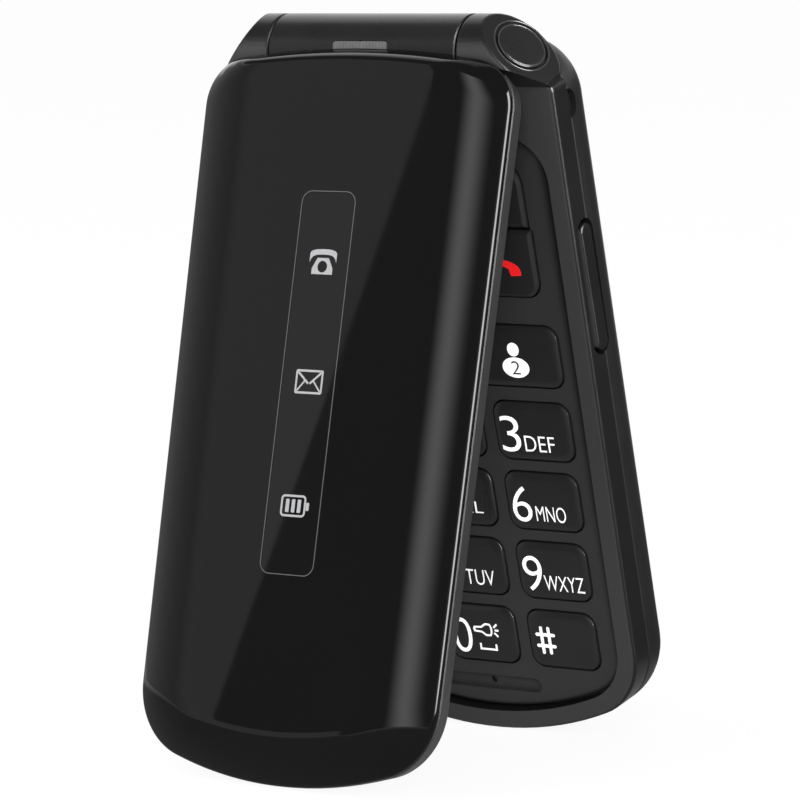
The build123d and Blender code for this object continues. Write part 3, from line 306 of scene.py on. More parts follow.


# Distances from the middle over which painted shade darkens the deck as it rolls into its groove, and shares
# of facing over which the keypad housing's face is painted lighter than its shaded sides.
DECK_ROLL_SHADE = (21.6, 23.4)
FACE_LIT_SHARE = (0.8, 0.97)


@dataclass(frozen=True)
class Finish:
    """How one kind of surface looks, with its pattern at its real scale."""

    name: str
    colour: Colour
    second: Colour
    roughness: float
    pattern: Pattern
    grain_mm: float = 0.25
    depth_mm: float = 0.004
    unevenness: float = 0.06
    metallic: float = 0.0
    specular: float = 0.5
    coat: float = 0.0
    alpha: float = 1.0
    glow: float = 0.0

    def material(self) -> bpy.types.Material:
        """Make the finish's material, or give the one made before.

        Returns:
            The node-based material.
        """
        if self.name in bpy.data.materials:
            return bpy.data.materials[self.name]
        shader = Shader(self.name)
        inputs = shader.surface.inputs
        inputs["Metallic"].default_value = self.metallic
        inputs["Specular IOR Level"].default_value = self.specular
        inputs["Coat Weight"].default_value = self.coat
        inputs["Coat Roughness"].default_value = 0.03
        inputs["Alpha"].default_value = self.alpha
        height, mask = self.structure(shader)
        shader.feed(inputs["Base Color"], shader.blend(mask, self.colour, self.second))
        wander = shader.noise(9.0, 3.0)
        shader.feed(inputs["Roughness"], self.roughness + (wander - 0.5) * self.unevenness * 2)
        if self.glow:
            shader.feed(inputs["Emission Color"], shader.blend(mask, self.colour, self.second))
            inputs["Emission Strength"].default_value = self.glow
        if self.depth_mm:
            shader.bump(height, self.depth_mm)
        return shader.material

    def structure(self, shader: Shader) -> tuple[Signal, Signal]:
        """Build the pattern's height and its colour mask.

        Args:
            shader: The material being made.

        Returns:
            Height and mask, each about 0 to 1.
        """
        grain = self.grain_mm
        if self.pattern is Pattern.LACQUER:
            return shader.noise(grain, 1.0), shader.noise(30.0, 2.0)
        if self.pattern is Pattern.BRUSHED:
            lines = shader.noise(grain, 3.0, (40, 1, 1))
            return lines, lines
        if self.pattern is Pattern.CAST:
            return shader.noise(grain, 4.0), shader.noise(grain * 12, 3.0)
        if self.pattern is Pattern.TRACKS:
            cells = shader.cells(grain, "DISTANCE_TO_EDGE")
            tracks = 1 - cells.ease(0.04, 0.09)
            return tracks, tracks
        if self.pattern is Pattern.RIBS:
            return shader.wave("X", grain) * 0.5 + 0.5, shader.noise(grain * 2, 2.0)
        if self.pattern is Pattern.WRAP:
            return shader.noise(grain, 1.0), shader.noise(grain * 4, 2.0)
        if self.pattern is Pattern.PIXELS:
            return shader.wave("X", grain) * shader.wave("Z", grain) * 0.5 + 0.5, shader.noise(20.0, 1.0)
        # Painted shade: the colour darkens with distance across from the middle, where the deck rolls into
        # its groove.
        if self.pattern is Pattern.ROLL_SHADED:
            return shader.noise(grain, 2.0), shader.along("X").size().ease(*(edge * MM for edge in DECK_ROLL_SHADE))
        # Painted light and shade: surfaces facing out of the keypad half take the lighter colour, sides that
        # face away keep the dark one.
        if self.pattern is Pattern.FACE_LIT_SIDES_SHADED:
            return shader.noise(grain, 2.0), shader.facing(BASE.outward).ease(*FACE_LIT_SHARE)
        if self.pattern is Pattern.INK:
            return shader.noise(grain, 2.0), shader.noise(grain * 3, 2.0)
        return shader.noise(grain, 2.0), shader.noise(grain * 20, 4.0)


def black(name: str, level: float, roughness: float, **more: object) -> Finish:
    """Make a near-black moulded finish from one grey level."""
    return Finish(name, (level, level, level * 1.03), (level * 1.35, level * 1.35, level * 1.4), roughness,
                  Pattern.SPARK, **more)


PIANO_LACQUER = Finish("piano_lacquer", (0.0035, 0.0035, 0.0038), (0.0045, 0.0045, 0.0048), 0.028,
                       Pattern.LACQUER, grain_mm=6.0, depth_mm=0.0012, unevenness=0.015, specular=0.2)
SMOKED_WINDOW = Finish("smoked_lacquer", (0.0035, 0.0035, 0.0038), (0.0045, 0.0045, 0.0048), 0.024,
                       Pattern.LACQUER, grain_mm=9.0, depth_mm=0.0006, unevenness=0.01, specular=0.26)
# Its dark colour on the sides and lighter colour on the face are painted shade and painted light on one
# moulding.
SATIN_SHELL = Finish("satin_shell", (0.008, 0.008, 0.0083), (0.045, 0.045, 0.0463), 0.3, Pattern.FACE_LIT_SIDES_SHADED,
                     grain_mm=0.22, depth_mm=0.003, specular=0.3)
SIDE_BAND = black("side_band", 0.034, 0.33, grain_mm=0.22, depth_mm=0.003, specular=0.3)
BARREL_SATIN = black("barrel_satin", 0.009, 0.28, grain_mm=0.22, depth_mm=0.003, specular=0.3)
# The deck's two colours are painted shade: the lighter one in the middle, the darker one where it rolls into
# its groove.
DECK_SATIN = Finish("deck_satin", (0.034, 0.034, 0.035), (0.009, 0.009, 0.0093), 0.42, Pattern.ROLL_SHADED,
                    grain_mm=0.2, depth_mm=0.004, specular=0.3)
KEY_SATIN = black("key_satin", 0.016, 0.34, grain_mm=0.2, depth_mm=0.003, specular=0.3)
RING_POLISH = black("ring_polish", 0.03, 0.16, grain_mm=0.4, depth_mm=0.001)
RING_SATIN = black("ring_satin", 0.05, 0.28, grain_mm=0.2, depth_mm=0.002)
BACK_SHELL = black("back_shell", 0.009, 0.36, grain_mm=0.28, depth_mm=0.005, specular=0.3)
BLACK_MOULDING = black("black_moulding", 0.012, 0.5, grain_mm=0.3, depth_mm=0.004)
BUMPER_RUBBER = black("bumper_rubber", 0.012, 0.75, grain_mm=0.15, depth_mm=0.006)
TORCH_LENS = Finish("torch_lens", (0.085, 0.085, 0.087), (0.13, 0.13, 0.132), 0.35, Pattern.RIBS,
                    grain_mm=0.55, depth_mm=0.05)
INNER_GLASS = Finish("inner_glass", (0.005, 0.005, 0.006), (0.007, 0.007, 0.008), 0.04, Pattern.LACQUER,
                     grain_mm=14.0, depth_mm=0.0005, unevenness=0.01)
SCREEN_PANEL = Finish("screen_panel", (0.02, 0.022, 0.028), (0.026, 0.028, 0.036), 0.2, Pattern.PIXELS,
                      grain_mm=0.25, depth_mm=0.001)
# The glow is painted light that keeps the print white in the keypad's shade.
KEY_INK = Finish("key_ink", (0.86, 0.86, 0.86), (0.94, 0.94, 0.94), 0.5, Pattern.INK, depth_mm=0.001,
                 glow=0.55)
ICON_INK = Finish("icon_ink", (0.34, 0.34, 0.35), (0.38, 0.38, 0.39), 0.45, Pattern.INK, depth_mm=0.0005)
# Painted highlight: a light grey ring standing in for light caught by the window's edge.
WINDOW_EDGE_HIGHLIGHT = Finish("window_edge_highlight", (0.085, 0.085, 0.088), (0.1, 0.1, 0.103), 0.3, Pattern.INK,
                     depth_mm=0.0005)
# The glow is painted light that keeps the print bright in the keypad's shade.
RED_INK = Finish("red_ink", (0.85, 0.004, 0.006), (0.9, 0.012, 0.014), 0.45, Pattern.INK, depth_mm=0.001,
                 glow=0.3)
GREEN_INK = Finish("green_ink", (0.02, 0.5, 0.08), (0.03, 0.58, 0.1), 0.45, Pattern.INK, depth_mm=0.001)
STEEL = Finish("plain_steel", (0.55, 0.55, 0.56), (0.62, 0.62, 0.63), 0.3, Pattern.BRUSHED,
               grain_mm=0.05, depth_mm=0.001, metallic=1.0)
SPRING_STEEL = Finish("spring_steel", (0.6, 0.58, 0.53), (0.68, 0.66, 0.6), 0.24, Pattern.BRUSHED,
                      grain_mm=0.04, depth_mm=0.001, metallic=1.0)
GOLD_CONTACT = Finish("gold_contact", (0.8, 0.56, 0.2), (0.86, 0.64, 0.28), 0.25, Pattern.BRUSHED,
                      grain_mm=0.04, depth_mm=0.001, metallic=1.0)
CAST_FRAME = Finish("cast_frame", (0.3, 0.31, 0.32), (0.38, 0.39, 0.4), 0.55, Pattern.CAST,
                    grain_mm=0.35, depth_mm=0.02, metallic=0.6)
GREEN_BOARD = Finish("green_board", (0.008, 0.06, 0.025), (0.03, 0.14, 0.05), 0.4, Pattern.TRACKS,
                     grain_mm=2.4, depth_mm=0.03)
BATTERY_WRAP = Finish("battery_wrap", (0.05, 0.055, 0.06), (0.07, 0.075, 0.08), 0.35, Pattern.WRAP,
                      grain_mm=5.0, depth_mm=0.05)
AMBER_FILM = Finish("amber_film", (0.42, 0.16, 0.02), (0.5, 0.22, 0.04), 0.3, Pattern.WRAP,
                    grain_mm=1.5, depth_mm=0.01)
LED_WHITE = Finish("led_white", (0.75, 0.76, 0.74), (0.82, 0.83, 0.8), 0.3, Pattern.WRAP,
                   grain_mm=0.8, depth_mm=0.005)

DRESSING: dict[Finish, tuple[str, ...]] = {
    SATIN_SHELL: ("keypad_housing", "volume_key"),
    SIDE_BAND: ("lid_inner_frame",),
    BARREL_SATIN: ("hinge_barrel", "hinge_cap_left", "hinge_cap_right"),
    DECK_SATIN: ("keypad_panel",),
    KEY_SATIN: ("soft_key_left", "soft_key_right", "call_key", "end_key", "nav_ok_key"),
    RING_SATIN: ("nav_ring",),
    BACK_SHELL: ("battery_cover",),
    BLACK_MOULDING: ("headphone_jack",),
    BUMPER_RUBBER: ("lid_bumpers",),
    TORCH_LENS: ("torch_lens",),
    SMOKED_WINDOW: ("indicator_window",),
    INNER_GLASS: ("display_lens",),
    SCREEN_PANEL: ("display_module",),
    STEEL: ("earpiece", "closing_magnet", "hinge_spring_unit", "hinge_pivot_tube", "hinge_cam_shaft",
            "loudspeaker", "microphone", "usb_socket", "vibration_motor", "sim_card_socket",
            "volume_switches", "housing_screws", "nav_rocker_plate"),
    SPRING_STEEL: ("key_domes",),
    GOLD_CONTACT: ("battery_contacts", "antenna"),
    CAST_FRAME: ("rear_chassis",),
    GREEN_BOARD: ("main_circuit_board", "lid_circuit_board"),
    BATTERY_WRAP: ("battery",),
    AMBER_FILM: ("flex_coil", "flex_tail"),
    LED_WHITE: ("indicator_lights", "torch_led"),
}


def dress_nodes() -> None:
    """Give every carried-over node its finish."""
    for finish, names in DRESSING.items():
        for name in names:
            node = frame["nodes"][name]
            node.data.materials.clear()
            node.data.materials.append(finish.material())
            LOG.info("dressed %s in %s", name, finish.name)


# ---------------------------------------------------------------------------------- meshes
@dataclass(frozen=True)
class Outline:
    """Plan shape with arched top and end, straight sides and rounded corners, as in the frame."""

    half_width: float
    end_half_width: float
    top: float
    length: float
    top_arc: float = 9000.0
    end_arc: float = 9000.0
    top_corner: float = 1.0
    end_corner: float = 1.0
    arc_steps: int = 12
    fan_steps: int = 10
    side_steps: int = 10

    def loop(self, inset: float = 0.0, top_inset: float | None = None, end_inset: float | None = None,
             shift: float = 0.0) -> Loop:
        """Points round the outline, clockwise from the middle of its top.

        Args:
            inset: How far the sides are drawn in.
            top_inset: The same at the top, or None for the sides' inset.
            end_inset: The same at the end, or None for the sides' inset.
            shift: Distance that the outline stands to the right of x = 0.

        Returns:
            The points as (x, v); every inset gives as many.
        """
        right = self._right(inset, inset if top_inset is None else top_inset,
                            inset if end_inset is None else end_inset)
        left = [(-x, v) for x, v in reversed(right[1:-1])]
        return [(x + shift, v) for x, v in right + left]

    def _right(self, inset: float, top_inset: float, end_inset: float) -> Loop:
        """Points down the right half of the outline, top middle to end middle."""
        wide, narrow = self.half_width - inset, self.end_half_width - inset
        top, end = self.top + top_inset, self.length - end_inset
        top_centre, end_centre = Vector((0, top + self.top_arc)), Vector((0, end - self.end_arc))
        start = Vector((wide, top + self.top_arc - math.sqrt(self.top_arc**2 - wide**2)))
        stop = Vector((narrow, end - self.end_arc + math.sqrt(self.end_arc**2 - narrow**2)))
        along = (stop - start).normalized()
        inward = Vector((-along.y, along.x))
        top_radius = max(self.top_corner - inset / 2, 0.15)
        end_radius = max(self.end_corner - inset / 2, 0.15)
        high = self._fillet_centre(start, along, inward, top_centre, self.top_arc, top_radius, -1)
        low = self._fillet_centre(start, along, inward, end_centre, self.end_arc, end_radius, 1)
        to_high, to_low = (high - top_centre).normalized(), (low - end_centre).normalized()
        points = self._fan(top_centre, self.top_arc, Vector((0, -1)), to_high, self.arc_steps)
        points += self._fan(high, top_radius, to_high, -inward, self.fan_steps)[1:]
        tangent_high, tangent_low = high - inward * top_radius, low - inward * end_radius
        points += [tuple(tangent_high.lerp(tangent_low, step / self.side_steps))
                   for step in range(1, self.side_steps + 1)]
        points += self._fan(low, end_radius, -inward, to_low, self.fan_steps)[1:]
        points += self._fan(end_centre, self.end_arc, to_low, Vector((0, 1)), self.arc_steps)[1:]
        return points

    @staticmethod
    def _fillet_centre(start: Vector, along: Vector, inward: Vector, centre: Vector, radius: float,
                       fillet: float, sign: int) -> Vector:
        """Centre of the corner arc between a side and an end arc."""
        offset = start + inward * fillet - centre
        reach = offset.dot(along)
        root = math.sqrt(reach**2 - offset.length_squared + (radius - fillet) ** 2)
        return centre + offset + along * (-reach + sign * root)

    @staticmethod
    def _fan(centre: Vector, radius: float, first: Vector, last: Vector, steps: int) -> Loop:
        """Points on an arc between two directions from its centre."""
        turn = first.angle_signed(last)
        return [tuple(centre + radius * (Matrix.Rotation(-turn * step / steps, 2) @ first))
                for step in range(steps + 1)]


class Skin:
    """A mesh under construction on one half, made of rings with equal numbers of points."""

    def __init__(self, half: Half) -> None:
        """Start with nothing."""
        self.half = half
        self.mesh = bmesh.new()

    def ring(self, loop: Loop, out: float, clear: float = 0.0) -> list[bmesh.types.BMVert]:
        """Add a ring of points at one height.

        Args:
            loop: The ring's (x, v) points.
            out: Height out of the half's front.
            clear: Radius round the hinge axis that the points keep off.

        Returns:
            The ring's vertices.
        """
        points = []
        for x, v in loop:
            reach = math.hypot(v, out)
            grow = clear / reach if reach < clear else 1.0
            points.append(self.mesh.verts.new(self.half.at(x, v * grow, out * grow)))
        return points

    def bridge(self, rings: Iterable[list[bmesh.types.BMVert]]) -> None:
        """Join rings in turn with bands of four-sided faces."""
        rings = list(rings)
        for first, second in zip(rings, rings[1:]):
            for index in range(len(first)):
                after = (index + 1) % len(first)
                self.mesh.faces.new((first[index], first[after], second[after], second[index]))

    def lid(self, ring: list[bmesh.types.BMVert]) -> None:
        """Close a ring with one face."""
        self.mesh.faces.new(ring)

    def piece(self, name: str, finish: Finish, body: str, slot: str,
              crease: float = 38.0) -> bpy.types.Object:
        """Turn the mesh into a finished piece that rides on a body.

        Args:
            name: The piece's name.
            finish: Its finish.
            body: The body that it moves with.
            slot: Not used.
            crease: Angle in degrees over which an edge shows sharp.

        Returns:
            The new object.
        """
        return finish_piece(name, self.mesh, finish, body, crease)


def hang(name: str, mesh: bmesh.types.BMesh, material: bpy.types.Material) -> bpy.types.Object:
    """Turn a mesh under construction into an object of the scene.

    Args:
        name: The object's name, and its mesh's.
        mesh: The mesh in the row frame, freed here.
        material: Its material.

    Returns:
        The new object.
    """
    data = bpy.data.meshes.new(name)
    mesh.to_mesh(data)
    mesh.free()
    data.materials.append(material)
    made = bpy.data.objects.new(name, data)
    bpy.context.scene.collection.objects.link(made)
    return made


def finish_piece(name: str, mesh: bmesh.types.BMesh, finish: Finish, body: str,
                 crease: float = 38.0) -> bpy.types.Object:
    """Make a piece of a mesh, dress it and let it ride.

    Args:
        name: The piece's name.
        mesh: Its mesh, in the row frame.
        finish: Its finish.
        body: The body that it moves with.
        crease: Angle in degrees over which an edge shows sharp.

    Returns:
        The new object.
    """
    bmesh.ops.recalc_face_normals(mesh, faces=mesh.faces)
    piece = hang(name, mesh, finish.material())
    piece.data.shade_smooth()
    piece.data.set_sharp_from_angle(angle=math.radians(crease))
    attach(piece, body)
    LOG.info("built %s on %s", name, body)
    return piece


# ---------------------------------------------------------------------------------- flat print
def disc(x: float, y: float, wide: float, high: float | None = None, steps: int = 40) -> Loop:
    """Points of a circle or ellipse with given radii."""
    high = wide if high is None else high
    return [(x + wide * math.cos(step * 2 * math.pi / steps), y + high * math.sin(step * 2 * math.pi / steps))
            for step in range(steps)]


def bar(x: float, y: float, wide: float, high: float, corner: float = 0.0) -> Loop:
    """Points of a rectangle about a middle, with rounded corners."""
    if not corner:
        return [(x - wide / 2, y - high / 2), (x + wide / 2, y - high / 2),
                (x + wide / 2, y + high / 2), (x - wide / 2, y + high / 2)]
    points = []
    for quarter, (sx, sy) in enumerate(((1, 1), (-1, 1), (-1, -1), (1, -1))):
        for step in range(7):
            angle = math.pi / 2 * (quarter + step / 6)
            points.append((x + sx * (wide / 2 - corner) + corner * math.cos(angle),
                           y + sy * (high / 2 - corner) + corner * math.sin(angle)))
    return points


def stroke(start: Flat, stop: Flat, width: float) -> Loop:
    """Points of a straight line of a width."""
    along = (Vector(stop) - Vector(start)).normalized() * width / 2
    side = Vector((-along.y, along.x))
    return [tuple(Vector(start) + side), tuple(Vector(start) - side),
            tuple(Vector(stop) - side), tuple(Vector(stop) + side)]


@dataclass
class Print:
    """Thin printed shapes on a flat surface of one half."""

    half: Half
    out: float
    finish: Finish
    body: str
    slot: str
    thickness: float = 0.02
    slimmer: float = 0.008

    def shapes(self, name: str, groups: Sequence[Sequence[Loop]], x: float, v: float,
               turn: float = 0.0) -> bpy.types.Object:
        """Print filled shapes.

        Args:
            name: The piece's name.
            groups: Shapes, each an outer loop and its holes, with y up the half.
            x: Where the drawing's origin goes, across.
            v: Where it goes, down the half.
            turn: Turn of the drawing in degrees.

        Returns:
            The printed piece.
        """
        joined = bmesh.new()
        for loops in groups:
            curve = bpy.data.curves.new(name, "CURVE")
            curve.dimensions, curve.fill_mode, curve.extrude = "2D", "BOTH", 0.5
            for loop in loops:
                spline = curve.splines.new("POLY")
                spline.points.add(len(loop) - 1)
                for point, (px, py) in zip(spline.points, loop):
                    point.co = (px, py, 0, 1)
                spline.use_cyclic_u = True
            self._gather(joined, curve)
        return self._place(joined, name, x, v, turn)

    def text(self, name: str, words: str, x: float, v: float, high: float,
             wide: float) -> bpy.types.Object:
        """Print a word, its letters fitted into a box.

        Args:
            name: The piece's name.
            words: What it says.
            x: Middle of the box, across.
            v: Middle of the box, down the half.
            high: Height of the box.
            wide: Width of the box.

        Returns:
            The printed piece.
        """
        curve = bpy.data.curves.new(name, "FONT")
        curve.body, curve.extrude, curve.resolution_u, curve.offset = words, 0.5, 6, -self.slimmer
        joined = bmesh.new()
        self._gather(joined, curve)
        low = Vector((min(p.co.x for p in joined.verts), min(p.co.y for p in joined.verts), 0))
        high_corner = Vector((max(p.co.x for p in joined.verts), max(p.co.y for p in joined.verts), 0))
        middle, size = (low + high_corner) / 2, high_corner - low
        for point in joined.verts:
            point.co.x = (point.co.x - middle.x) * wide / size.x
            point.co.y = (point.co.y - middle.y) * high / size.y
        return self._place(joined, name, x, v, 0.0)

    @staticmethod
    def _gather(joined: bmesh.types.BMesh, curve: bpy.types.Curve) -> None:
        """Add a curve's filled mesh to the print and drop the curve."""
        holder = bpy.data.objects.new("drawing", curve)
        data = bpy.data.meshes.new_from_object(holder)
        joined.from_mesh(data)
        bpy.data.objects.remove(holder)
        bpy.data.meshes.remove(data)
        bpy.data.curves.remove(curve)

    def _place(self, joined: bmesh.types.BMesh, name: str, x: float, v: float,
               turn: float) -> bpy.types.Object:
        """Lay the drawing on the half."""
        bmesh.ops.remove_doubles(joined, verts=joined.verts, dist=1e-4)
        spin = Matrix.Rotation(math.radians(turn), 3, "Z")
        for point in joined.verts:
            flat = spin @ Vector((point.co.x, point.co.y, 0))
            lift = self.thickness if point.co.z > 0 else -self.thickness
            point.co = self.half.at(x + flat.x, v - flat.y, self.out + lift)
        return finish_piece(name, joined, self.finish, self.body)


# ---------------------------------------------------------------------------------- lid
@dataclass
class LidShell:
    """Glossy outer shell of the lid with its crowned rim and the pocket of the narrow window."""

    outline: Outline = field(default_factory=lambda: Outline(
        half_width=25.8, end_half_width=24.8, top=0.64, length=101.64, top_arc=150.0, end_arc=60.0,
        top_corner=6.9, end_corner=10.2, arc_steps=18, fan_steps=16, side_steps=24))
    seam: float = 4.1
    rim: float = 4.82
    face: float = 8.04
    crown_run: float = 10.5
    top_share: float = 0.2
    end_share: float = 0.75
    lap: float = 1.9
    hinge_clearance: float = 5.42
    window: Outline = field(default_factory=lambda: Outline(
        half_width=4.51, end_half_width=4.51, top=20.89, length=73.26, top_arc=900.0, end_arc=900.0,
        top_corner=1.6, end_corner=1.6, arc_steps=18, fan_steps=16, side_steps=24))
    pocket: float = 7.2
    wall: float = 0.9
    ceiling: float = 6.85

    def crown(self, inset: float) -> float:
        """Height of the shell at a distance in from its rim."""
        fall = max(0.0, self.crown_run - inset) / self.crown_run
        return self.face - (self.face - self.rim) * fall ** 2

    def build(self) -> None:
        """Make the shell as one closed skin and let it stand for the plain cover."""
        skin = Skin(LID)
        edge = ((0.0, self.seam), (0.0, self.rim - 0.3), (0.05, self.rim - 0.12), (0.15, self.rim))
        crown = [(step, self.crown(step)) for step in
                 (0.3, 0.45, 0.6, 0.9, 1.4, 2.0, 2.7, 3.5, 4.4, 5.4, 6.5, 7.7, 9.0, 10.5, 10.8)]
        rings = [skin.ring(self.outline.loop(self.lap), self.seam, self.hinge_clearance)]
        for inset, height in (*edge, *crown):
            loop = self.outline.loop(inset, inset * self.top_share, inset * self.end_share)
            rings.append(skin.ring(loop, height, self.hinge_clearance))
        rings.append(skin.ring(self.window.loop(), self.face))
        rings.append(skin.ring(self.window.loop(), self.pocket))
        skin.bridge(rings)
        skin.lid(rings[-1])
        inside = [skin.ring(self.outline.loop(self.lap + self.wall, self.crown_run), height)
                  for height in (self.seam, self.ceiling - 1)]
        inside.append(skin.ring(self.outline.loop(self.crown_run), self.ceiling))
        skin.bridge([rings[0], *inside])
        skin.lid(inside[-1])
        shell = skin.piece("lid_shell", PIANO_LACQUER, "lid", "gloss_black", crease=30.0)
        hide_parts("lid_outer_cover")


@dataclass
class CapRings:
    """Fine polished rings round the end caps in the knuckles' slanted ends."""

    reach: float = 23.1
    rise: float = 0.65
    set_back: float = 0.45
    slant: float = 41.0
    lean: float = 7.5
    radii: tuple[float, ...] = (3.45, 4.1)
    thickness: float = 0.13
    steps: int = 72
    sides: int = 8

    def build(self) -> None:
        """Make the rings on both ends."""
        for side, name in ((-1, "left"), (1, "right")):
            for number, radius in enumerate(self.radii, 1):
                self.ring(f"cap_ring_{name}_{number}", side, radius)

    def ring(self, name: str, side: int, radius: float) -> None:
        """Make one ring.

        Args:
            name: The piece's name.
            side: -1 on the left, 1 on the right.
            radius: Distance of its middle line from the cap's middle.
        """
        slant = math.radians(self.slant)
        normal = (Vector((side * math.cos(slant), 0, 0)) - BASE.down * math.sin(slant)
                  + BASE.outward * math.tan(math.radians(self.lean))).normalized()
        first = normal.cross(BASE.outward).normalized()
        second = normal.cross(first)
        centre = BASE.at(side * self.reach, -self.rise, -self.set_back)
        mesh = bmesh.new()
        rings = []
        for step in range(self.steps):
            turn = 2 * math.pi * step / self.steps
            away = first * math.cos(turn) + second * math.sin(turn)
            rings.append([mesh.verts.new(
                centre + (away * (radius + self.thickness * math.cos(2 * math.pi * part / self.sides))
                          + normal * self.thickness * math.sin(2 * math.pi * part / self.sides)) * MM)
                for part in range(self.sides)])
        for ring, after in zip(rings, rings[1:] + rings[:1]):
            for part in range(self.sides):
                nearby = (part + 1) % self.sides
                mesh.faces.new((ring[part], ring[nearby], after[nearby], after[part]))
        finish_piece(name, mesh, RING_POLISH, "base", crease=60.0)


@dataclass
class IndicatorIcons:
    """Telephone, envelope and battery printed behind the lid's window."""

    middle: float = 0.2
    face: float = 8.04
    telephone_place: float = 30.6
    envelope_place: float = 47.0
    battery_place: float = 63.9
    window_place: float = 47.075
    line: float = 0.3

    def build(self) -> None:
        """Print the three icons, and round the window a thin lighter ring that is a painted highlight of its
        edge.
        """
        ink = Print(LID, self.face, ICON_INK, "lid", "led_white", thickness=0.012)
        ink.shapes("icon_telephone", self.telephone(), self.middle, self.telephone_place)
        ink.shapes("icon_envelope", self.envelope(4.6, 3.3), self.middle, self.envelope_place)
        ink.shapes("icon_battery", self.battery(4.2, 3.0), self.middle, self.battery_place)
        # Painted highlight of the window's edge, drawn as a thin printed ring.
        edge = Print(LID, self.face, WINDOW_EDGE_HIGHLIGHT, "lid", "led_white", thickness=0.012)
        edge.shapes("window_highlight_ring", [[bar(0, 0, 9.1, 52.45, 1.65), bar(0, 0, 8.84, 52.19, 1.52)]],
                    0.0, self.window_place)

    def telephone(self) -> list[list[Loop]]:
        """Handset over a desk telephone's body with its dial."""
        body = [(-1.75, -1.7), (1.75, -1.7), (1.75, -0.9), (0.95, 0.55), (-0.95, 0.55), (-1.75, -0.9)]
        return [[handset(4.5, 0.85, 0.5)], [body, disc(0, -0.65, 0.8)]]

    def envelope(self, wide: float, high: float) -> list[list[Loop]]:
        """Outlined envelope with the crossing folds of its flaps."""
        inner_wide, inner_high = wide - 2 * self.line, high - 2 * self.line
        corner = (inner_wide / 2, inner_high / 2)
        folds = [[stroke((side * corner[0], corner[1]), (side * 0.12, -0.25), self.line)] for side in (-1, 1)]
        lower = [[stroke((side * corner[0], -corner[1]), (side * 0.75, 0.1), self.line * 0.8)]
                 for side in (-1, 1)]
        return [[bar(0, 0, wide, high, 0.3), bar(0, 0, inner_wide, inner_high)], *folds, *lower]

    def battery(self, wide: float, high: float) -> list[list[Loop]]:
        """Outlined battery with its end cap and three bars of charge."""
        case = [bar(-0.25, 0, wide, high, 0.6),
                bar(-0.25, 0, wide - 2 * self.line, high - 2 * self.line, 0.3)]
        bars = [[bar(-0.25 + step * 0.98, 0, 0.58, high - 4 * self.line, 0.1)] for step in (-1, 0, 1)]
        return [case, [bar(wide / 2 + 0.05, 0, 0.5, 1.1, 0.15)], *bars]


def handset(wide: float, ends: float, middle: float, rise: float = 0.9) -> Loop:
    """Points of a telephone handset seen from its side, arched upwards.

    Args:
        wide: Overall width.
        ends: Half thickness at the ear and mouth pieces.
        middle: Half thickness of the grip.
        rise: How far the grip arches over the ends.

    Returns:
        One closed loop about the middle of the telephone icon's width.
    """
    upper, lower = [], []
    for step in range(33):
        place = -1 + step / 16
        swell = abs(place) ** 6
        thick = middle + (ends - middle) * swell
        x = place * wide / 2
        level = 1.1 + rise * (1 - place**2) ** 0.5 * 0.45
        upper.append((x, level + 0.1 + middle * 0.3 * (1 - swell)))
        lower.append((x, level - thick - 0.35 * swell))
    return upper + lower[::-1]


# ---------------------------------------------------------------------------------- keypad
class Align(Enum):
    """Which number column a key stands in."""

    LEFT = -1
    MIDDLE = 0
    RIGHT = 1


@dataclass(frozen=True)
class NumberKey:
    """One number key: its node, place and print."""

    node: str
    row: int
    column: Align
    digit: str
    letters: str = ""


KEY_LETTERS = ("", "ABC", "DEF", "GHI", "JKL", "MNO", "PQRS", "TUV", "WXYZ")
NUMBER_KEYS = tuple(
    NumberKey(f"key_{index + 1}", index // 3, Align(index % 3 - 1), str(index + 1), letters)
    for index, letters in enumerate(KEY_LETTERS)
) + (NumberKey("key_star", 3, Align.LEFT, "*"), NumberKey("key_0", 3, Align.MIDDLE, "0"),
     NumberKey("key_hash", 3, Align.RIGHT, "#"))


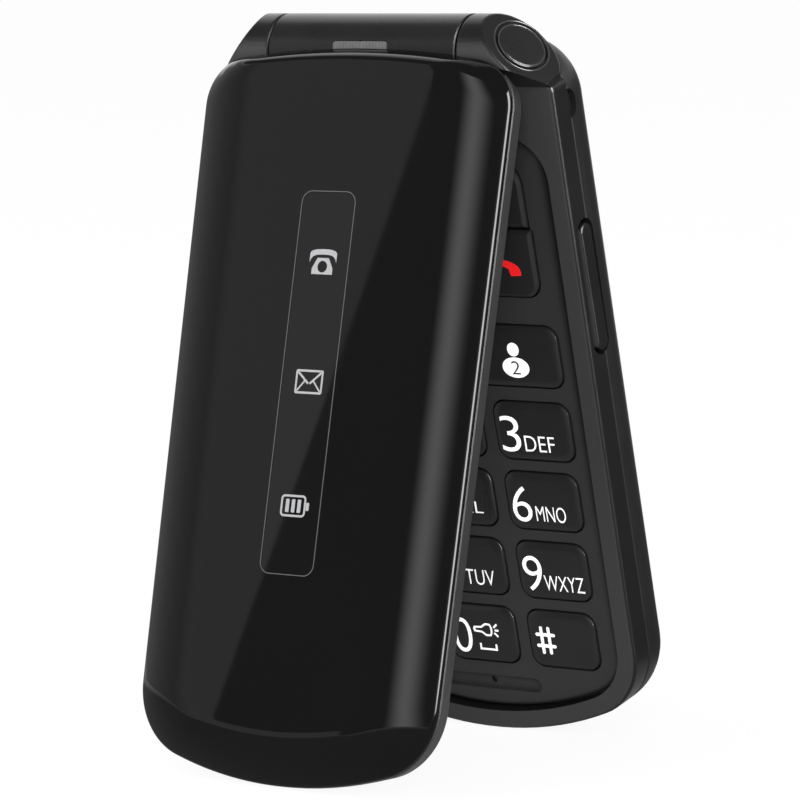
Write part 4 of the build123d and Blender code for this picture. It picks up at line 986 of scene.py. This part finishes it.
@dataclass
class KeyField:
    """The rectangular keys as fine meshes, and the print on all the keys."""

    top_depth: float = 0.7
    bevel_width: float = 1.1
    bevel_drop: float = 0.38
    foot_depth: float = 3.0
    corner: float = 1.9
    first_row: float = 51.1
    pitch: float = 10.47
    height: float = 8.47
    middle_half: float = 5.85
    side_inner: float = 8.17
    side_outer: float = 20.8
    row_taper: float = 0.43
    memory_top: float = 39.8
    memory_bottom: float = 48.7
    memory_inner: float = 5.95
    centre_half: float = 4.3
    digit_height: float = 5.3
    digit_width: float = 3.2
    letter_height: float = 2.3
    letter_width: float = 1.6
    digit_in: float = 2.6
    letters_in: float = 7.3

    def build(self) -> None:
        """Make the caps, then print them."""
        for key in NUMBER_KEYS:
            left, right = self.sides(key)
            top = self.first_row + key.row * self.pitch
            self.cap(key.node, left, right, top, top + self.height)
            self.print_number(key, left, top)
        self.cap("centre_key", -self.centre_half, self.centre_half, self.memory_top, self.memory_bottom)
        for side, number in ((-1, "1"), (1, "2")):
            edges = sorted((side * self.memory_inner, side * self.side_outer))
            self.cap(f"memory_key_{number}", *edges, self.memory_top, self.memory_bottom)
            self.print_person(f"memory_key_{number}", number, sum(edges) / 2)
        self.print_helpers()
        self.print_calls()

    def sides(self, key: NumberKey) -> tuple[float, float]:
        """Left and right edge of a number key."""
        if key.column is Align.MIDDLE:
            return -self.middle_half, self.middle_half
        outer = self.side_outer - key.row * self.row_taper
        edges = sorted((key.column.value * self.side_inner, key.column.value * outer))
        return edges[0], edges[1]

    def cap(self, node: str, left: float, right: float, top: float, bottom: float) -> None:
        """Make one key with a softly rolled edge and let it stand for its plain cap.

        Args:
            node: The key's CAD node, which names its body too.
            left: Left edge across.
            right: Right edge across.
            top: Upper edge down the half.
            bottom: Lower edge down the half.
        """
        half = (right - left) / 2
        outline = Outline(half, half, top, bottom, top_arc=900.0, end_arc=900.0, top_corner=self.corner,
                          end_corner=self.corner, arc_steps=4, fan_steps=8, side_steps=2)
        skin = Skin(BASE)
        start = self.top_depth + self.bevel_drop
        profile = [(0.0, self.foot_depth), (0.0, start + 0.12), (0.02, start + 0.05), (0.07, start - 0.01)]
        for share in (0.15, 0.3, 0.45, 0.6, 0.75, 0.9, 1.0):
            profile.append((share * self.bevel_width, self.top_depth + self.bevel_drop * (1 - share) ** 2))
        rings = [skin.ring(outline.loop(inset, shift=(left + right) / 2), -depth) for inset, depth in profile]
        skin.bridge(rings)
        skin.lid(rings[0])
        skin.lid(rings[-1])
        piece = skin.piece(f"{node}_cap", KEY_SATIN, node, "key_black", crease=50.0)
        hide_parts(node)

    def ink(self, node: str, finish: Finish = KEY_INK, thickness: float = 0.015) -> Print:
        """Print on one key's top."""
        return Print(BASE, -self.top_depth, finish, node, "led_white", thickness)

    def print_number(self, key: NumberKey, left: float, top: float) -> None:
        """Print a key's digit and letters."""
        ink = self.ink(key.node)
        digit_place, letter_place = top + 4.6, top + 5.9
        if key.digit == "#":
            uprights = [[bar(side * 0.62, 0, 0.5, 4.2, 0.24)] for side in (-1, 1)]
            levels = [[bar(0, side * 0.85, 3.3, 0.5, 0.24)] for side in (-1, 1)]
            ink.shapes(f"{key.node}_sign", uprights + levels, left + 3.0, top + 4.3)
            return
        if key.digit == "*":
            ink.text(f"{key.node}_sign", key.digit, left + 6.2, top + 4.2, 3.4, 3.6)
            return
        slim = 0.5 if key.digit == "1" else 1.0
        ink.text(f"{key.node}_digit", key.digit, left + self.digit_in, digit_place, self.digit_height,
                 self.digit_width * slim)
        if key.letters:
            middle = left + self.letters_in + (0.4 if len(key.letters) == 4 else 0.0)
            ink.text(f"{key.node}_letters", key.letters, middle, letter_place, self.letter_height,
                     self.letter_width * len(key.letters) + (0.3 if "W" in key.letters else 0.2))

    def print_person(self, node: str, number: str, middle: float) -> None:
        """Print a person with a number on a one-touch dial key."""
        person = [[disc(0.1, 1.12, 0.98, 1.0)], [disc(0.15, -1.52, 2.24, 1.5)]]
        self.ink(node).shapes(f"{node}_person", person, middle, (self.memory_top + self.memory_bottom) / 2)
        self.ink(node, KEY_SATIN, 0.03).text(f"{node}_number", number, middle + 0.15,
                                             self.memory_top + 6.0, 1.95, 1.4 if number == "2" else 0.7)

    def print_helpers(self) -> None:
        """Print the torch and space signs on the zero key and raise the bar on the five."""
        line = 0.3
        case = [(-2.1, 0.42), (-0.85, 0.5), (-0.1, 1.0), (0.75, 0.95), (1.0, 0.5), (1.08, 0), (1.0, -0.5),
                (0.75, -0.95), (-0.1, -1.0), (-0.85, -0.5), (-2.1, -0.42), (-2.25, 0)]
        hollow = [(-1.85, 0.16), (-0.78, 0.22), (-0.02, 0.7), (0.62, 0.68), (0.72, 0.4), (0.78, 0),
                  (0.72, -0.4), (0.62, -0.68), (-0.02, -0.7), (-0.78, -0.22), (-1.85, -0.16)]
        rays = [[stroke((1.35, side * 0.4), (1.95, side * 0.95), line)] for side in (-1, 1)]
        torch = [[case, hollow], [bar(1.8, 0, 0.7, line, 0.1)], *rays]
        space = [[[(-1.5, 0.5), (-1.5, -0.5), (1.5, -0.5), (1.5, 0.5), (1.5 - line, 0.5),
                   (1.5 - line, line - 0.5), (line - 1.5, line - 0.5), (line - 1.5, 0.5)]]]
        self.ink("key_0").shapes("key_0_torch", torch, 1.0, 86.0)
        self.ink("key_0").shapes("key_0_space", space, 1.0, 88.65)
        self.ink("key_5", KEY_SATIN, 0.12).shapes("key_5_bar", [[bar(0, 0, 0.5, 2.2, 0.24)]], 4.1, 65.8)

    def print_calls(self) -> None:
        """Print the handsets of the call and end keys, and the strokes of the soft keys."""
        self.ink("end_key", RED_INK).shapes("end_handset", [[cradle(7.0)]], 13.4, 31.0)
        self.ink("call_key", GREEN_INK).shapes("call_handset", [[cradle(7.0)]], -13.4, 31.0, 125.0)
        for side, node in ((-1, "soft_key_left"), (1, "soft_key_right")):
            self.ink(node).shapes(f"{node}_stroke", [[bar(0, 0, 3.2, 0.55, 0.2)]], side * 12.6, 20.6)


def cradle(wide: float) -> Loop:
    """Points of a handset lying face down, as on an end key."""
    outer = [(wide / 2 * math.cos(a), 1.7 * math.sin(a) - 0.7)
             for a in (math.pi * step / 20 for step in range(21))]
    inner = [(-wide * 0.24, -1.0), (-wide * 0.22, -0.35), (-wide * 0.1, 0.02), (wide * 0.1, 0.02),
             (wide * 0.22, -0.35), (wide * 0.24, -1.0)]
    left_foot = [(-wide / 2, -1.25), (-wide * 0.26, -1.35)]
    right_foot = [(wide * 0.26, -1.35), (wide / 2, -1.25)]
    return outer + left_foot + inner + right_foot


# ---------------------------------------------------------------------------------- studio
@dataclass(frozen=True)
class Card:
    """A curved panel round the set that only shows in reflections, seen from the lid's middle.

    Angles are degrees: azimuth from straight ahead to the right, elevation from level.
    """

    name: str
    left: float
    right: float
    low: float
    high: float
    level: float
    distance: float = 700.0
    lean: float = 0.0
    soft: float = 0.05

    def direction(self, across: float, upward: float) -> Vector:
        """Direction to a point of the card, given by its shares of the width and the height."""
        rise = (self.high - self.low) * (upward - 0.5)
        azimuth = math.radians(self.left + (self.right - self.left) * across + self.lean * rise)
        elevation = math.radians((self.low + self.high) / 2 + rise)
        return Vector((math.sin(azimuth) * math.cos(elevation), -math.cos(azimuth) * math.cos(elevation),
                       math.sin(elevation)))


@dataclass
class Studio:
    """Floor, world, lamps, reflection cards and camera."""

    turn: float = math.radians(35.776)
    lift: float = math.radians(4.119)
    roll: float = math.radians(0.43)
    lean: float = math.radians(-3.01)
    shift_right: float = 2.531
    shift_up: float = -47.999
    distance: float = 651.202
    lens: float = 213.386
    floor_reach: float = 12.0
    floor_glow: float = 1.03
    floor_share: float = 0.9
    card_columns: int = 24
    card_rows: int = 6
    mat_reach: float = 400.0
    mat_rise: float = 0.2
    mat_level: float = 0.36
    mat_soft: float = 0.5
    cards: tuple[Card, ...] = (
        Card("dark_line", -36.8, -12.0, -6.0, 55.0, 0.22, distance=250.0, lean=0.082, soft=0.012),
        Card("dark_front", -32.0, 50.0, -6.0, 55.0, 0.22),
        Card("shoulder_strip", -7.4, 24.6, -6.0, 50.0, 4.4, distance=680.0, soft=1.0),
        Card("rim_strip", 64.0, 106.0, -4.0, 42.0, 32.0, soft=0.3),
        Card("dark_side", 120.0, 178.0, -32.0, 35.0, 0.12, distance=95.0, soft=0.35),
        Card("left_shade", -128.0, -42.0, -8.0, 32.0, 0.55, soft=0.35),
        Card("sky_shade", -106.0, 172.0, 34.0, 88.0, 0.2, distance=720.0),
        Card("top_strip", -152.0, -108.0, 14.0, 52.0, 1.6, soft=0.3),
    )

    def build(self) -> None:
        """Set everything up."""
        self.look()
        self.floor()
        self.world()
        self.lamps()
        for card in self.cards:
            self.card(card)
        self.mat()
        self.camera()

    def look(self) -> None:
        """Set the plain view transform."""
        bpy.context.scene.view_settings.view_transform = "Standard"

    def floor(self) -> None:
        """Pale floor that keeps a soft shadow and reaches far behind the view."""
        shader = Shader("studio_floor")
        shader.surface.inputs["Base Color"].default_value = (0.9, 0.9, 0.9, 1)
        shader.surface.inputs["Roughness"].default_value = 0.9
        shader.surface.inputs["Specular IOR Level"].default_value = 0.0
        glow = shader.node("ShaderNodeEmission", inputs={"Color": (1, 1, 1, 1), "Strength": self.floor_glow})
        factor = shader.seen() * self.floor_share
        mix = shader.node("ShaderNodeMixShader", inputs={
            0: factor, 1: shader.surface.outputs[0], 2: glow.outputs[0]})
        shader.feed(shader.output.inputs["Surface"], mix.outputs[0])
        mesh = bmesh.new()
        reach = self.floor_reach
        mesh.faces.new([mesh.verts.new((x, y, 0)) for x, y in
                        ((-reach, -reach), (reach, -reach), (reach, reach), (-reach, reach))])
        hang("studio_floor", mesh, shader.material)

    def world(self) -> None:
        """White surroundings for what is seen or reflected, softer as light."""
        world = bpy.data.worlds.new("studio_world")
        bpy.context.scene.world = world
        world.use_nodes = True
        sky = NodeTree(world.node_tree)
        shade = sky.node("ShaderNodeMix", {"data_type": "RGBA"},
                         {0: sky.seen(), 6: (0.6, 0.6, 0.6, 1), 7: (1, 1, 1, 1)})
        back = sky.node("ShaderNodeBackground", inputs={"Color": shade.outputs[2]})
        sky.node("ShaderNodeOutputWorld", inputs={"Surface": back.outputs[0]})

    def lamps(self) -> None:
        """Two broad soft lamps."""
        for name, place, size, power in (("key_lamp", (-0.5, -0.7, 1.1), 0.9, 7.0),
                                         ("fill_lamp", (0.62, -0.8, 0.42), 0.45, 7.5)):
            data = bpy.data.lights.new(name, "AREA")
            data.shape, data.size, data.energy = "DISK", size, power
            lamp = bpy.data.objects.new(name, data)
            lamp.location = place
            lamp.rotation_euler = (Vector((0, 0, 0.05)) - lamp.location).to_track_quat("-Z", "Y").to_euler()
            lamp.visible_glossy = False
            bpy.context.scene.collection.objects.link(lamp)

    def card(self, card: Card) -> None:
        """Hang one reflection card."""
        middle = LID.at(0, 50, 8)
        columns, rows = self.card_columns, self.card_rows
        mesh = bmesh.new()
        layer = mesh.loops.layers.uv.new("card")
        points = [[mesh.verts.new(middle + card.direction(column / columns, row / rows) * card.distance * MM)
                   for column in range(columns + 1)] for row in range(rows + 1)]
        for row in range(rows):
            for column in range(columns):
                corners = ((row, column), (row, column + 1), (row + 1, column + 1), (row + 1, column))
                face = mesh.faces.new([points[up][along] for up, along in corners])
                for loop, (up, along) in zip(face.loops, corners):
                    loop[layer].uv = (2 * along / columns - 1, 2 * up / rows - 1)
        self.panel(card.name, mesh, card.level, card.soft)

    def mat(self) -> None:
        """Lay a dark mat under the phone that only shows in reflections."""
        mesh = bmesh.new()
        layer = mesh.loops.layers.uv.new("card")
        corners = ((-1, -1), (1, -1), (1, 1), (-1, 1))
        reach, rise = self.mat_reach * MM, self.mat_rise * MM
        face = mesh.faces.new([mesh.verts.new((x * reach, y * reach, rise)) for x, y in corners])
        for loop, corner in zip(face.loops, corners):
            loop[layer].uv = corner
        self.panel("dark_mat", mesh, self.mat_level, self.mat_soft, fade_both=True)

    def panel(self, name: str, mesh: bmesh.types.BMesh, level: float, soft: float,
              fade_both: bool = False) -> None:
        """Finish a panel that glows at a level, fades at its sides and only shows in reflections.

        Args:
            name: The panel's name.
            mesh: Its faces, with places across it from -1 to 1 in the layer "card".
            level: Strength of its light, 1 for white.
            soft: Share of its half width over which it fades out.
            fade_both: Fades towards its front and back too.
        """
        shader = Shader(name)
        glow = shader.node("ShaderNodeEmission", inputs={"Color": (level, level, level, 1), "Strength": 1.0})
        clear = shader.node("ShaderNodeBsdfTransparent")
        flat = shader.node("ShaderNodeUVMap", {"uv_map": "card"})
        parts = shader.node("ShaderNodeSeparateXYZ", inputs={"Vector": flat.outputs[0]})
        solid = 1 - Signal(shader, parts.outputs["X"]).size().ease(1 - soft, 1.0)
        if fade_both:
            solid = solid * (1 - Signal(shader, parts.outputs["Y"]).size().ease(1 - soft, 1.0))
        mix = shader.node("ShaderNodeMixShader", inputs={0: solid, 1: clear.outputs[0], 2: glow.outputs[0]})
        shader.feed(shader.output.inputs["Surface"], mix.outputs[0])
        panel = hang(name, mesh, shader.material)
        panel.visible_camera = panel.visible_diffuse = panel.visible_shadow = False
        panel.visible_transmission = False

    def camera(self) -> None:
        """Place a camera with a long focal length to the phone's right, a little above level."""
        right = Vector((math.cos(self.turn), math.sin(self.turn), 0))
        up = Vector((-math.sin(self.turn) * math.sin(self.lift), math.cos(self.turn) * math.sin(self.lift),
                     math.cos(self.lift)))
        back = Vector((math.sin(self.turn) * math.cos(self.lift), -math.cos(self.turn) * math.cos(self.lift),
                       math.sin(self.lift)))
        right, up = (right * math.cos(self.roll) + up * math.sin(self.roll),
                     up * math.cos(self.roll) - right * math.sin(self.roll))
        place = right * self.shift_right + up * self.shift_up + back * self.distance
        turn = Matrix.Rotation(self.lean, 3, "X")
        right, up, back, place = turn @ right, turn @ up, turn @ back, turn @ place
        data = bpy.data.cameras.new("product_camera")
        data.sensor_width, data.lens = 36.0, self.lens
        data.clip_start, data.clip_end = 0.05, 50.0
        camera = bpy.data.objects.new("product_camera", data)
        axes = Matrix((right, up, back)).transposed().to_4x4()
        camera.matrix_world = Matrix.Translation(HINGE + place * MM) @ axes
        bpy.context.scene.collection.objects.link(camera)
        bpy.context.scene.camera = camera


def main() -> None:
    """Build the scene in order."""
    logging.basicConfig(level=logging.INFO, format="%(message)s")
    Studio().build()
    dress_nodes()
    LidShell().build()
    CapRings().build()
    IndicatorIcons().build()
    KeyField().build()


if __name__ == "__main__":
    main()
